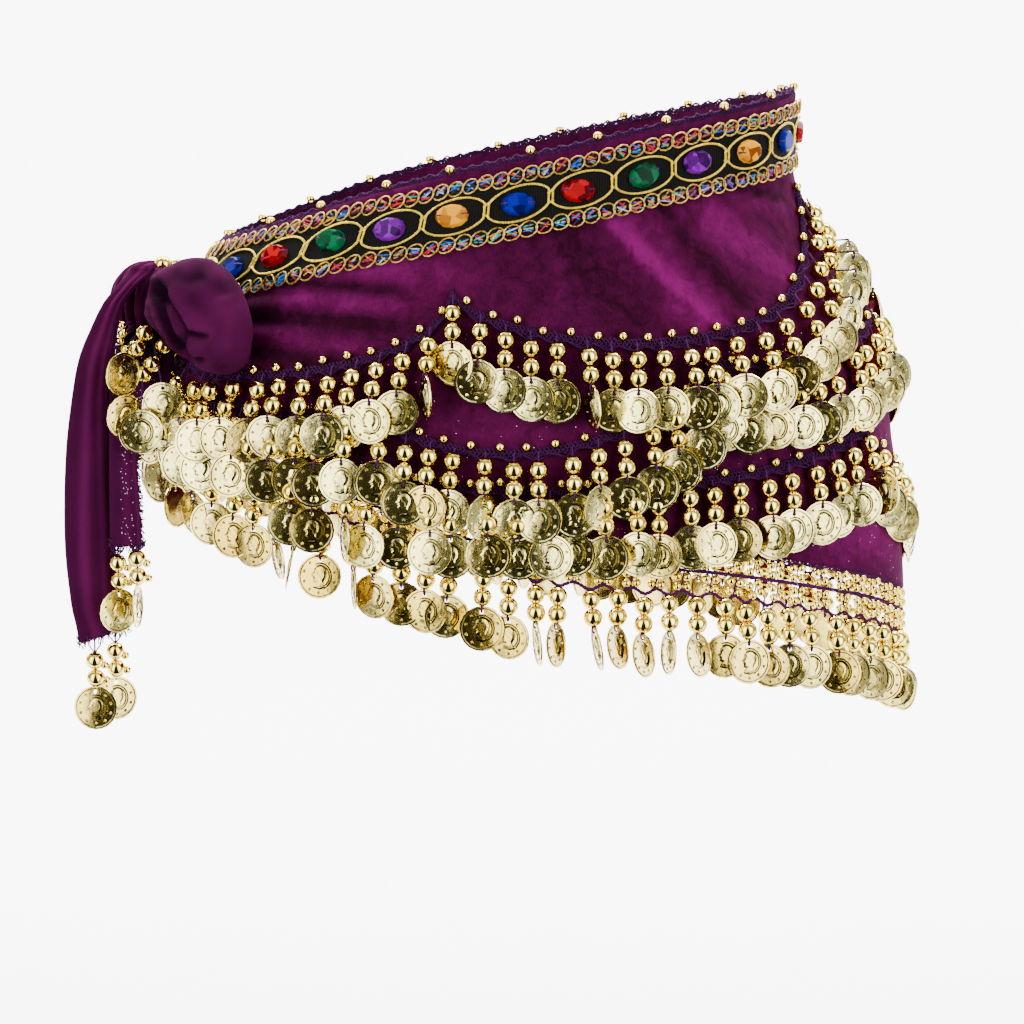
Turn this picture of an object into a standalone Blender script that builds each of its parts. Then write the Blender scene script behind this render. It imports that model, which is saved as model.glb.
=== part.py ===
"""Belly dance hip scarf, in the pose it takes on a general figure's hips.

One velvet panel goes round the hips, high at the wearer's +X side and tied at the left front.
A crochet edging and a jewelled ribbon finish its top, three crochet rows of beads and coins
lie on it, and a beaded net with a fourth row hangs from its hem.

The tables are in millimetres and degrees. An angle goes round the hips from +X (0) by the
front, -Y (90), to -X (180). "Out" is the distance from the inner face of the cloth.
"""
import math
from bisect import bisect_right
from collections import namedtuple

import bmesh
import bpy
from mathutils import Vector

MM = 0.001

# ---------------------------------------------------------------- the figure under the cloth
HipSection = namedtuple("HipSection", "height half_width half_depth centre_x")
HIP_FORM = (
    HipSection(60, 119.75, 88, 1.75),
    HipSection(20, 120.75, 90, -0.75),
    HipSection(0, 127, 94, -2),
    HipSection(-27, 142.5, 100, -2.5),
    HipSection(-53, 157.5, 105, -0.5),
    HipSection(-113, 169, 112, -2),
    HipSection(-183, 174.5, 114, -1.5),
    HipSection(-260, 173, 112, -2),
)

# ---------------------------------------------------------------- the cut, the same at the back
CutSection = namedtuple("CutSection", "angle edge hem")
CUT = (
    CutSection(0, 52.5, -176),
    CutSection(30, 48, -162),
    CutSection(60, 39, -147),
    CutSection(90, 25.5, -136),
    CutSection(120, 10.5, -109),
    CutSection(150, -7.5, -84),
    CutSection(180, -16, -70),
)
SEAM_ANGLE = 158
SEAM_HALF_GAP = 0.25
CLOTH = 1.5
PARTING = 0.35
ON_CLOTH_PARTING = 0.7
TRIM_PARTING = 0.8
PANEL_COLUMNS = 72
PANEL_ROWS = 8
EDGING_BELOW = 2.0
EDGING_ABOVE = 1.5
NET_HEIGHT = 21

Fold = namedtuple("Fold", "start_angle start_height end_angle end_height half_width lift")
FOLDS = (
    Fold(143, -43, 106, -30, 5, 2.6),
    Fold(144, -55, 112, -48, 5, 2.2),
    Fold(82, -8, 46, -22, 7, 1.8),
    Fold(56, -76, 24, -80, 7, 1.6),
    Fold(72, -122, 30, -134, 8, 1.4),
    Fold(176, -58, 208, -52, 5, 1.8),
    Fold(238, -30, 268, -12, 6, 1.8),
    Fold(294, -8, 328, -22, 7, 1.8),
    Fold(320, -78, 350, -86, 7, 1.6),
)
ARC_PER_DEGREE = 2.45

# ---------------------------------------------------------------- the jewelled ribbon
TRIM_TOP_BELOW_EDGE = 4
TRIM_HEIGHT = 31
TRIM_END = 146
TRIM_CELLS = 24
TRIM_PITCH = 28.4
TRIM_STEP = 0.5
TRIM_THICK = 1.5
GEM_LIFT = 3.2
TrimLine = namedtuple("TrimLine", "share raised")
TRIM_ACROSS = (
    TrimLine(0.00, False), TrimLine(0.30, False), TrimLine(0.41, True),
    TrimLine(0.59, True), TrimLine(0.70, False), TrimLine(1.00, False),
)
TRIM_ALONG = (
    TrimLine(0.20, False), TrimLine(0.36, True), TrimLine(0.64, True), TrimLine(0.80, False),
)

# ---------------------------------------------------------------- the rows of beads and coins
Scallop = namedtuple("Scallop", "start end start_height end_height sag skew")
FringeRow = namedtuple("FringeRow", "name start end strands lead scallops")
ROWS = (
    FringeRow("fringe_row_1", -201, 157, 62, 9, (
        Scallop(-258, -180, -30, -55, 29, 0.65), Scallop(-180, -78, -55, -8, 36, 1),
        Scallop(-78, 12, -8, 13, 45, 1), Scallop(12, 102, 13, -30, 41, 1),
        Scallop(102, 180, -30, -55, 29, 0.65),
    )),
    FringeRow("fringe_row_2", -201, 157, 60, 9, (
        Scallop(-249, -198, -84, -75, 5, 1), Scallop(-198, -180, -75, -70, 1, 1),
        Scallop(-180, -146, -70, -80, 3, 1),
        Scallop(-146, -95, -80, -76, 10, 1), Scallop(-95, -43, -76, -58, 14, 1),
        Scallop(-43, 8, -58, -44, 14, 1), Scallop(8, 60, -44, -62, 7, 1),
        Scallop(60, 111, -62, -84, 26, 1), Scallop(111, 162, -84, -75, 5, 1),
    )),
    FringeRow("fringe_row_3", -128, 128, 44, 9, (
        Scallop(-155, -65, -96, -96, 16, 1), Scallop(-65, 25, -96, -94, 34, 1),
        Scallop(25, 115, -94, -109, 14, 1), Scallop(115, 150, -109, -89, 1, 1),
    )),
)
SCALLOP_FULLNESS = 0.65
HEM_FRINGE = FringeRow("fringe_hem", -201, 157, 76, 5.5, ())
STRIP_HEIGHT = 4
STRIP_THICK = 1.3
HEM_STRIP_HEIGHT = 2.6
ROOT_HALF_WIDTH = 1.0

StrandSection = namedtuple("StrandSection", "drop width depth")
STRAND = (
    StrandSection(0, 7, 4),
    StrandSection(8, 2, 1),
    StrandSection(18, 20, 1),
    StrandSection(28, 6, 1),
)
STRAND_REACH = 37
BEADS_DROP = 9
COIN_TURN = math.radians(10)
LEAST_LEAN = 0.12
STACK_CLEARANCE = 5.2
BEADS_STAND_OFF = 3.7
LEAN_REACH = 10
CLIMB_SHARE = 0.4

# ---------------------------------------------------------------- the knot and the two ties
BULB_ANGLE, BULB_HEIGHT, BULB_OUT = 146.5, -46, 21.6
BULB_SIZE = (31, 17.5, 27)
BULB_CREASE_DEPTH, BULB_CREASE_WIDTH = 0.13, 0.42
WRAP_CENTRE = (-170.7, -32.3, -41.2)
WRAP_AXIS = (-0.80, 0.58, 0.12)
WRAP_HALF_LENGTH, WRAP_RADIUS = 18, 18.5
WRAP_FOLDS, WRAP_FOLD_DEPTH = 4, 0.06

TailSection = namedtuple("TailSection", "height left right front")
TAIL_LONG = (
    TailSection(-25, -178, -166, -53.6),
    TailSection(-36, -186, -172, -55.9),
    TailSection(-48, -192, -179, -56.6),
    TailSection(-62, -198, -185, -57),
    TailSection(-80, -203.5, -187, -52),
    TailSection(-110, -208.5, -186, -48),
    TailSection(-150, -209, -185, -47),
    TailSection(-178, -206, -185, -47),
    TailSection(-196, -203, -181, -46),
)
TAIL_SHORT = (
    TailSection(-56, -179, -170, -49.6),
    TailSection(-74, -184.5, -175, -56),
    TailSection(-98, -186.5, -176, -58),
    TailSection(-125, -187, -175, -59),
    TailSection(-150, -187, -173, -58),
)
TAIL_CLOTH = 1.2
TAIL_FOLD_DEPTH = 4.6
TAIL_STRIP = 2.5
TAIL_STEP = 6.6
TAIL_LEAD = 12


def smooth(rows, key, column, at):
    """Value of a column on a smooth curve through a table's rows, level at both ends."""
    keys = [getattr(row, key) for row in rows]
    values = [getattr(row, column) for row in rows]
    if keys[0] > keys[-1]:
        keys.reverse()
        values.reverse()
    at = min(max(at, keys[0]), keys[-1])
    i = min(bisect_right(keys, at) - 1, len(keys) - 2)

    def slope(k):
        if k in (0, len(keys) - 1):
            return 0.0
        return (values[k + 1] - values[k - 1]) / (keys[k + 1] - keys[k - 1])

    span = keys[i + 1] - keys[i]
    t = (at - keys[i]) / span
    rise = t * t * (3 - 2 * t)
    return (values[i] * (1 - rise) + values[i + 1] * rise
            + slope(i) * span * t * (1 - t) ** 2 - slope(i + 1) * span * t * t * (1 - t))


def cut_height(column, angle):
    """Height of the scarf's edge or hem at an angle; the back mirrors the front."""
    return smooth(CUT, "angle", column, abs((angle + 180) % 360 - 180))


def edge_height(angle):
    return cut_height("edge", angle)


def hem_height(angle):
    return cut_height("hem", angle)


def net_height(angle):
    return hem_height(angle) - NET_HEIGHT


def row_height(row, angle):
    """Height of a crochet row: scallops between tips, or the lower edge of the net."""
    if not row.scallops:
        return net_height(angle) - PARTING
    for scallop in row.scallops:
        if scallop.start <= angle <= scallop.end:
            t = (angle - scallop.start) / (scallop.end - scallop.start)
            tips = scallop.start_height * (1 - t) + scallop.end_height * t
            dip = math.sin(math.pi * t ** scallop.skew)
            return tips - scallop.sag * max(dip, 0) ** SCALLOP_FULLNESS
    return None


def fold_lift(angle, height):
    """How far the cloth stands off the figure where its folds pass."""
    lift = 0.0
    for fold in FOLDS:
        for turn in (-360, 0, 360):
            start = Vector(((fold.start_angle + turn) * ARC_PER_DEGREE, fold.start_height))
            end = Vector(((fold.end_angle + turn) * ARC_PER_DEGREE, fold.end_height))
            run = end - start
            spot = Vector((angle * ARC_PER_DEGREE, height)) - start
            along = spot.dot(run) / run.length_squared
            aside = (spot - run * along).length / fold.half_width
            if -0.2 < along < 1 and aside < 3:
                fade = 1 - along if along > 0 else 1 + 5 * along
                lift += fold.lift * math.exp(-aside ** 2) * fade
    return lift


def directions(angle, height):
    """The way round the hips and the way out of them, both level."""
    turn = math.radians(angle)
    width = smooth(HIP_FORM, "height", "half_width", height)
    depth = smooth(HIP_FORM, "height", "half_depth", height)
    around = Vector((-width * math.sin(turn), -depth * math.cos(turn), 0)).normalized()
    away = Vector((math.cos(turn) / width, -math.sin(turn) / depth, 0)).normalized()
    return around, away


def skin_point(angle, height, out):
    """A point off the figure, in millimetres."""
    turn = math.radians(angle)
    width = smooth(HIP_FORM, "height", "half_width", height)
    depth = smooth(HIP_FORM, "height", "half_depth", height)
    centre = smooth(HIP_FORM, "height", "centre_x", height)
    spot = Vector((centre + width * math.cos(turn), -depth * math.sin(turn), height))
    return spot + directions(angle, height)[1] * out


def spread(start, end, count):
    """Evenly spaced values from start to end."""
    return [start + (end - start) * i / (count - 1) for i in range(count)]


PANEL_ANGLES = spread(SEAM_ANGLE - 360 + SEAM_HALF_GAP, SEAM_ANGLE - SEAM_HALF_GAP, PANEL_COLUMNS + 1)


def panel_column(angle):
    """Points down the inner face of the panel at one angle, from its edge to its hem."""
    top, hem = edge_height(angle) - EDGING_BELOW, hem_height(angle)
    heights = spread(top, hem, PANEL_ROWS + 1)
    return [skin_point(angle, height, fold_lift(angle, height)) for height in heights]


PANEL_INSIDE = [panel_column(angle) for angle in PANEL_ANGLES]


def cloth_point(angle, height, out):
    """A point on the panel's own facets, moved out; above and below, it is off the figure."""
    at = (angle - PANEL_ANGLES[0]) / (PANEL_ANGLES[1] - PANEL_ANGLES[0])
    column = min(max(int(at), 0), PANEL_COLUMNS - 1)
    share = at - column
    left, right = PANEL_INSIDE[column], PANEL_INSIDE[column + 1]
    top, hem = left[0].lerp(right[0], share), left[-1].lerp(right[-1], share)
    if not hem.z <= height <= top.z:
        return skin_point(angle, height, out)
    down = (top.z - height) / (top.z - hem.z) * PANEL_ROWS
    row = min(int(down), PANEL_ROWS - 1)
    down -= row
    upper, lower = right[row], left[row + 1]
    if share + down <= 1:
        corner, along, below = left[row], share, down
        spot = corner + (upper - corner) * along + (lower - corner) * below
    else:
        corner, along, below = right[row + 1], 1 - share, 1 - down
        spot = corner + (lower - corner) * along + (upper - corner) * below
    return spot + directions(angle, height)[1] * out


def add_solid(name, mesh_data, finish):
    """Turn a closed bmesh in millimetres into an object in metres."""
    bmesh.ops.remove_doubles(mesh_data, verts=mesh_data.verts, dist=1e-4)
    bmesh.ops.recalc_face_normals(mesh_data, faces=mesh_data.faces)
    bmesh.ops.scale(mesh_data, vec=(MM, MM, MM), verts=mesh_data.verts)
    mesh = bpy.data.meshes.new(name)
    mesh_data.to_mesh(mesh)
    mesh_data.free()
    mesh.materials.append(finish)
    solid = bpy.data.objects.new(name, mesh)
    bpy.context.collection.objects.link(solid)
    return solid


def finish(name, colour, roughness, metallic=0.0):
    """A Principled material of one colour."""
    material = bpy.data.materials.new(name)
    material.use_nodes = True
    shader = material.node_tree.nodes["Principled BSDF"]
    shader.inputs["Base Color"].default_value = (*colour, 1)
    shader.inputs["Roughness"].default_value = roughness
    shader.inputs["Metallic"].default_value = metallic
    material.diffuse_color = (*colour, 1)
    return material


def skin_loops(solid, loops):
    """Join equal closed loops of points end to end and cap both ends."""
    rings = [[solid.verts.new(point) for point in loop] for loop in loops]
    for ring, following in zip(rings, rings[1:]):
        bridge(solid, ring, following)
    solid.faces.new(rings[0])
    solid.faces.new(rings[-1])


def bridge(solid, ring, following):
    """Quads between two closed rings of vertices."""
    for i in range(len(ring)):
        k = (i + 1) % len(ring)
        solid.faces.new((ring[i], ring[k], following[k], following[i]))


def wall(name, material, inside, thickness, angles):
    """A cloth wall: columns of inner points and the same points moved out."""
    solid = bmesh.new()
    loops = []
    for angle, column in zip(angles, inside):
        outside = [p + directions(angle, p.z)[1] * thickness for p in column]
        loops.append(column + outside[::-1])
    skin_loops(solid, loops)
    split_end_caps(solid, len(inside[0]))
    bmesh.ops.triangulate(solid, faces=solid.faces, quad_method="FIXED")
    return add_solid(name, solid, material)


def split_end_caps(solid, rows):
    """Cut the tall end faces of a wall into one quad for each row."""
    for face in [f for f in solid.faces if len(f.verts) == 2 * rows and rows > 2]:
        corners = list(face.verts)
        solid.faces.remove(face)
        for i in range(rows - 1):
            solid.faces.new((corners[i], corners[i + 1], corners[-2 - i], corners[-1 - i]))


def build_hip_panel(material):
    return wall("hip_panel", material, PANEL_INSIDE, CLOTH, PANEL_ANGLES)


def build_waist_edging(material):
    """Crochet band worked along the panel's upper edge."""
    columns = []
    for angle in PANEL_ANGLES:
        low = edge_height(angle) - EDGING_BELOW + PARTING
        columns.append([skin_point(angle, h, 0) for h in (edge_height(angle) + EDGING_ABOVE, low)])
    return wall("waist_edging", material, columns, CLOTH, PANEL_ANGLES)


def build_hem_net(material):
    """Beaded net below the hem; its openings are under 4 mm, so it is one wall."""
    columns = []
    for angle in PANEL_ANGLES:
        heights = (hem_height(angle) - PARTING, net_height(angle))
        columns.append([skin_point(angle, h, 0) for h in heights])
    return wall("hem_net", material, columns, CLOTH, PANEL_ANGLES)


def ribbon_run():
    """Angles back from the ribbon's end at the knot, and the length of ribbon up to each."""
    angles, lengths = [TRIM_END], [0.0]
    while lengths[-1] < TRIM_CELLS * TRIM_PITCH:
        angles.append(angles[-1] - TRIM_STEP)
        before, after = (
            skin_point(a, edge_height(a) - TRIM_TOP_BELOW_EDGE - TRIM_HEIGHT / 2, CLOTH)
            for a in angles[-2:]
        )
        lengths.append(lengths[-1] + (after - before).length)
    return angles, lengths


def ribbon_angle(run, distance):
    """Angle at a distance along the ribbon from its end at the knot."""
    angles, lengths = run
    k = min(bisect_right(lengths, distance), len(lengths) - 1)
    share = (distance - lengths[k - 1]) / (lengths[k] - lengths[k - 1])
    return angles[k - 1] + (angles[k] - angles[k - 1]) * share


def build_jewel_trim(material):
    """Ribbon on the panel with a flat back and one raised gem in each equal cell."""
    solid = bmesh.new()
    run = ribbon_run()
    stations = [(0, False)]
    for i in range(TRIM_CELLS):
        stations += [(i + line.share, line.raised) for line in TRIM_ALONG]
    stations.append((TRIM_CELLS, False))
    loops = []
    for share_along, raised in stations:
        angle = ribbon_angle(run, share_along * TRIM_PITCH)
        top = edge_height(angle) - TRIM_TOP_BELOW_EDGE
        loop = []
        for line in TRIM_ACROSS:
            lift = GEM_LIFT if raised and line.raised else 0
            out = CLOTH + TRIM_PARTING + TRIM_THICK + lift
            loop.append(cloth_point(angle, top - TRIM_HEIGHT * line.share, out))
        for share in (1.0, 0.5, 0.0):
            loop.append(cloth_point(angle, top - TRIM_HEIGHT * share, CLOTH + TRIM_PARTING))
        loops.append(loop)
    skin_loops(solid, loops)
    return add_solid("jewel_trim", solid, material)


def least_leans(index, angle, known):
    """The lean that clears each lower row's strip, beads and coins at one angle."""
    rows = (*ROWS, HEM_FRINGE)
    yield LEAST_LEAN
    for lower in range(index + 1, len(rows)):
        if rows[lower].start <= angle <= rows[lower].end:
            gap = row_height(rows[index], angle) - row_height(rows[lower], angle)
            if gap < STRAND_REACH:
                under = known[lower][angle]
                yield (under * BEADS_DROP + STACK_CLEARANCE) / (gap + BEADS_DROP)
                yield (under * (STRAND_REACH - gap) + STACK_CLEARANCE) / STRAND_REACH


def lean_tables():
    """For each row, how far strands stand out for each millimetre they drop, by whole angle.

    Each strand clears the rows below it, and neighbours change little by little.
    """
    rows = (*ROWS, HEM_FRINGE)
    known = [None] * len(rows)
    for index in reversed(range(len(rows))):
        angles = range(math.ceil(rows[index].start), math.floor(rows[index].end) + 1)
        least = {a: max(least_leans(index, a, known)) for a in angles}
        widest = {a: max(least.get(a + k, 0) for k in range(-LEAN_REACH, LEAN_REACH + 1)) for a in angles}
        known[index] = {}
        for a in angles:
            near = [widest[a + k] for k in range(-LEAN_REACH, LEAN_REACH + 1) if a + k in widest]
            known[index][a] = sum(near) / len(near)
    return known


LEANS = lean_tables()


def even_angles(row, count):
    """Angles that space a row's strands evenly along its line, counting climbs for less."""
    samples = spread(row.start, row.end, 721)
    lengths = [0.0]
    points = [skin_point(a, row_height(row, a), 0) for a in samples]
    for before, after in zip(points, points[1:]):
        step = after - before
        step.z *= CLIMB_SHARE
        lengths.append(lengths[-1] + step.length)
    angles = []
    for i in range(count):
        wanted = lengths[-1] * (i + 0.5) / count
        k = min(bisect_right(lengths, wanted) - 1, len(samples) - 2)
        share = (wanted - lengths[k]) / (lengths[k + 1] - lengths[k])
        angles.append(samples[k] + (samples[k + 1] - samples[k]) * share)
    return angles


def strand_sections(top, around, away, lead, lean):
    """Four corners of each section of a strand that hangs from a point."""
    turned_around = around * math.cos(COIN_TURN) + away * math.sin(COIN_TURN)
    turned_away = away * math.cos(COIN_TURN) - around * math.sin(COIN_TURN)
    sections = []
    for section in STRAND:
        drop = lead + section.drop
        centre = top(drop) + away * lean * drop
        side, front = turned_around * section.width / 2, turned_away * section.depth / 2
        sections.append([centre - side - front, centre + side - front,
                         centre + side + front, centre - side + front])
    return sections


def extrude_strand(solid, root, sections):
    """Draw a strand out of a strip's lower side, ring by ring, and close its end."""
    ring = root
    for section in sections:
        following = [solid.verts.new(corner) for corner in section]
        bridge(solid, ring, following)
        ring = following
    solid.faces.new(ring)


def build_fringe(index, strip_height, on_cloth, material):
    """A three-sided crochet strip with its strands growing out of its lower side."""
    row = (*ROWS, HEM_FRINGE)[index]
    base = CLOTH + ON_CLOTH_PARTING if on_cloth else 0
    stand_off = base + (BEADS_STAND_OFF if on_cloth else STRIP_THICK / 2)
    solid = bmesh.new()
    hung = even_angles(row, row.strands)
    half = ROOT_HALF_WIDTH / ARC_PER_DEGREE
    stations = [row.start, *(a + side for a in hung for side in (-half, half)), row.end]
    place = cloth_point if on_cloth else skin_point
    rings = []
    for angle in stations:
        line = row_height(row, angle)
        rings.append([solid.verts.new(p) for p in (
            place(angle, line, base),
            place(angle, line - strip_height, base),
            place(angle, line - strip_height, base + STRIP_THICK),
        )])
    for i, (ring, following) in enumerate(zip(rings, rings[1:])):
        solid.faces.new((ring[0], ring[1], following[1], following[0]))
        solid.faces.new((ring[0], following[0], following[2], ring[2]))
        root = [ring[1], following[1], following[2], ring[2]]
        if i % 2 == 0:
            solid.faces.new(root)
            continue
        angle = hung[i // 2]
        line = row_height(row, angle) - strip_height
        around, away = directions(angle, line)

        def top(drop, angle=angle, line=line):
            return skin_point(angle, line - drop, stand_off)

        lean = LEANS[index][round(angle)]
        extrude_strand(solid, root, strand_sections(top, around, away, row.lead, lean))
    solid.faces.new(rings[0])
    solid.faces.new(rings[-1])
    return add_solid(row.name, solid, material)


def build_knot_bulb(material):
    """Front lobe of the knot: a rounded fold of cloth with one deep crease."""
    solid = bmesh.new()
    around, away = directions(BULB_ANGLE, BULB_HEIGHT)
    centre = skin_point(BULB_ANGLE, BULB_HEIGHT, BULB_OUT)
    bmesh.ops.create_uvsphere(solid, u_segments=16, v_segments=10, radius=1)
    for vertex in solid.verts:
        side, front, up = vertex.co
        turn = math.atan2(front, side)
        crease_at = math.radians(118) - 0.55 * up
        miss = (turn - crease_at) / BULB_CREASE_WIDTH
        size = 1 - BULB_CREASE_DEPTH * math.exp(-miss ** 2) * (1 - up * up)
        vertex.co = (centre - around * side * size * BULB_SIZE[0]
                     + away * front * size * BULB_SIZE[1] + Vector((0, 0, up * BULB_SIZE[2])))
    return add_solid("knot_bulb", solid, material)


def build_knot_wrap(material):
    """The stretch wound round the knot: a short roll with a few parallel folds."""
    solid = bmesh.new()
    axis = Vector(WRAP_AXIS).normalized()
    up = (Vector((0, 0, 1)) - axis * axis.z).normalized()
    side = axis.cross(up)
    loops = []
    for along in spread(-0.96, 0.96, 4 * WRAP_FOLDS + 1):
        fold = 1 - WRAP_FOLD_DEPTH * math.cos(2 * math.pi * WRAP_FOLDS * along)
        radius = WRAP_RADIUS * math.sqrt(1 - along * along) * fold
        centre = Vector(WRAP_CENTRE) + axis * along * WRAP_HALF_LENGTH
        turns = [2 * math.pi * k / 12 for k in range(12)]
        loops.append([centre + (up * math.cos(t) + side * math.sin(t)) * radius for t in turns])
    skin_loops(solid, loops)
    return add_solid("knot_wrap", solid, material)


def tail_loop(section, fold_depth):
    """Outline of a tie folded lengthwise: front, round fold at the left, and back."""
    left, right, front = section.left, section.right, section.front
    half, back = TAIL_CLOTH / 2, front + fold_depth
    bend = fold_depth / 2
    middle = (front + back) / 2
    outer = [(right, front - half), ((left + right) / 2, front - half - 0.8)]
    inner = [(right, front + half), ((left + right) / 2, front + half - 0.8)]
    for degrees in (-90, -45, 0, 45, 90):
        turn = math.radians(degrees)
        for points, reach in ((outer, bend + half), (inner, bend - half)):
            points.append((left + bend + half - reach * math.cos(turn), middle + reach * math.sin(turn)))
    outer.append((right - 2, back + half))
    inner.append((right - 2, back - half))
    return [Vector((x, y, section.height)) for x, y in outer + inner[::-1]]


def build_tail(name, sections, material):
    """A hanging tie end, a thin folded wall."""
    solid = bmesh.new()
    loops = [tail_loop(section, TAIL_FOLD_DEPTH) for section in sections]
    skin_loops(solid, loops)
    split_end_caps(solid, len(loops[0]) // 2)
    return add_solid(name, solid, material)


def build_tail_fringe(name, end, strands, lead, material):
    """A short strip below a tie's end with its own strands of beads and a coin."""
    solid = bmesh.new()
    width = (end.right - end.left - 4) / strands
    top = end.height - PARTING
    low = top - TAIL_STRIP
    front, back = end.front - 0.6, end.front + 0.6
    stations = [end.left + 2]
    for i in range(strands):
        middle = end.left + 2 + width * (i + 0.5)
        stations += [middle - ROOT_HALF_WIDTH, middle + ROOT_HALF_WIDTH]
    stations.append(end.right - 2)
    rings = []
    for x in stations:
        rings.append([solid.verts.new(p) for p in ((x, front, top), (x, back, low), (x, front, low))])
    around, away = Vector((1, 0, 0)), Vector((0, -1, 0))
    for i, (ring, following) in enumerate(zip(rings, rings[1:])):
        solid.faces.new((ring[0], ring[1], following[1], following[0]))
        solid.faces.new((ring[0], following[0], following[2], ring[2]))
        root = [ring[1], following[1], following[2], ring[2]]
        if i % 2 == 0:
            solid.faces.new(root)
            continue
        middle = (stations[i] + stations[i + 1]) / 2
        step = TAIL_STEP if (i // 2) % 2 else 0

        def hang(drop, middle=middle, step=step):
            return Vector((middle, (front + back) / 2 + step * min(drop / 5, 1), low - drop))

        extrude_strand(solid, root, strand_sections(hang, around, away, lead, 0))
    solid.faces.new(rings[0])
    solid.faces.new(rings[-1])
    return add_solid(name, solid, material)


def clear_scene():
    for thing in list(bpy.data.objects):
        bpy.data.objects.remove(thing, do_unlink=True)


def main():
    clear_scene()
    velvet = finish("purple_velvet", (0.20, 0.012, 0.14), 0.75)
    tie_cloth = finish("plum_chiffon", (0.13, 0.015, 0.10), 0.8)
    crochet = finish("violet_crochet", (0.03, 0.008, 0.07), 0.9)
    ribbon = finish("black_gold_ribbon", (0.10, 0.08, 0.03), 0.5)
    gold = finish("gold_beads_and_coins", (0.80, 0.62, 0.25), 0.25, 1.0)
    build_hip_panel(velvet)
    build_waist_edging(crochet)
    build_jewel_trim(ribbon)
    build_hem_net(crochet)
    for index in range(len(ROWS)):
        build_fringe(index, STRIP_HEIGHT, True, gold)
    build_fringe(len(ROWS), HEM_STRIP_HEIGHT, False, gold)
    build_knot_bulb(tie_cloth)
    build_knot_wrap(tie_cloth)
    build_tail("tail_long", TAIL_LONG, tie_cloth)
    build_tail("tail_short", TAIL_SHORT, tie_cloth)
    build_tail_fringe("tail_long_fringe", TAIL_LONG[-1], 2, TAIL_LEAD, gold)
    build_tail_fringe("tail_short_fringe", TAIL_SHORT[-1], 2, HEM_FRINGE.lead, gold)


main()
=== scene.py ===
"""Looks of a belly dance hip scarf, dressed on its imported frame.

Lengths are in millimetres and angles in degrees until a mesh is finished, which is in metres.
An angle goes round the hips from +X (0) by the front, -Y (90), to -X (180) and on behind.
"Out" is how far a point stands off the figure's form, level.
"""
import logging
import math
from dataclasses import dataclass
from enum import Enum
from typing import Any, Callable, NamedTuple, Sequence

import bmesh
import bpy
import numpy as np
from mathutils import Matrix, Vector, noise


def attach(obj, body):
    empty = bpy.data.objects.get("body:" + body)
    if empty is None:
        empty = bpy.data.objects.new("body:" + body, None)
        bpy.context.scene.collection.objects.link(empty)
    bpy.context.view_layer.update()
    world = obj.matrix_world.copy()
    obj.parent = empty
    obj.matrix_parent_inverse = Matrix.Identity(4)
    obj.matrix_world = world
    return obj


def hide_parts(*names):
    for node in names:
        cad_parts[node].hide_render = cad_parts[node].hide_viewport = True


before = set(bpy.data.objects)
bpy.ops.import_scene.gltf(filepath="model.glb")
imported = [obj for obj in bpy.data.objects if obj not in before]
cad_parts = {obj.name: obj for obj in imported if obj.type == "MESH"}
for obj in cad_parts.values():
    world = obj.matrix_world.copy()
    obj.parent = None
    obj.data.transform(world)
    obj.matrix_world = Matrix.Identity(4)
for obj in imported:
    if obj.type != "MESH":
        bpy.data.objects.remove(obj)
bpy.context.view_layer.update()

LOG = logging.getLogger("hip_scarf")
MM = 0.001
BODY = "root"
UP = np.array([0.0, 0.0, 1.0])
# the velvet's thickness, a crochet line's distance off it, and the length of one degree of hip
CLOTH = 1.5
ON_CLOTH = 0.7
ARC_PER_DEGREE = 2.45
TURN = 2 * math.pi
FOCUS_AT = (0.0, 0.0, -0.08)

Points = np.ndarray
Pair = tuple[float, float]
Triple = tuple[float, float, float]
Mesh = bpy.types.Mesh
Piece = bpy.types.Object
Material = bpy.types.Material
Tree = bpy.types.NodeTree
Rng = np.random.Generator


class Slot(Enum):
    """The record's material slots."""

    VELVET = "velvet"
    CROCHET = "crochet"
    RIBBON = "ribbon"
    NET_BEADS = "net_beads"
    GOLD_BEADS = "gold_beads"
    COINS = "coins"
    GEMS = "gems"
    TIE = "tie_cloth"


# ---------------------------------------------------------------- numbers


def smooth(keys: Sequence[float], values: Sequence[float], at: Points) -> Points:
    """Read a smooth curve through a table, level at both ends.

    Args:
        keys: The table's rising keys.
        values: One value for each key.
        at: Where to read it.

    Returns:
        The values there.
    """
    keys, values = np.asarray(keys, float), np.asarray(values, float)
    slopes = np.zeros_like(values)
    slopes[1:-1] = (values[2:] - values[:-2]) / (keys[2:] - keys[:-2])
    at = np.clip(at, keys[0], keys[-1])
    i = np.clip(np.searchsorted(keys, at, side="right") - 1, 0, len(keys) - 2)
    span = keys[i + 1] - keys[i]
    t = (at - keys[i]) / span
    rise = t * t * (3 - 2 * t)
    bends = slopes[i] * span * t * (1 - t) ** 2 - slopes[i + 1] * span * t * t * (1 - t)
    return values[i] * (1 - rise) + values[i + 1] * rise + bends


def ease(t: Points) -> Points:
    """Rise from 0 to 1 with level ends as t goes from 0 to 1."""
    t = np.clip(t, 0, 1)
    return t * t * (3 - 2 * t)


def unit(vectors: Points) -> Points:
    """Scale each vector to length 1."""
    return vectors / np.linalg.norm(vectors, axis=-1, keepdims=True)


def run_lengths(points: Points) -> Points:
    """Length along a line of points up to each of them."""
    steps = np.linalg.norm(np.diff(points, axis=0), axis=-1)
    return np.concatenate([[0.0], np.cumsum(steps)])


def measured(start: float, end: float, place: Callable[[Points], Points]) -> tuple[Points, Points]:
    """Close angles from start to end, and the length up to each of the places there."""
    angles = np.linspace(start, end, 2400)
    return angles, run_lengths(place(angles))


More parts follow.
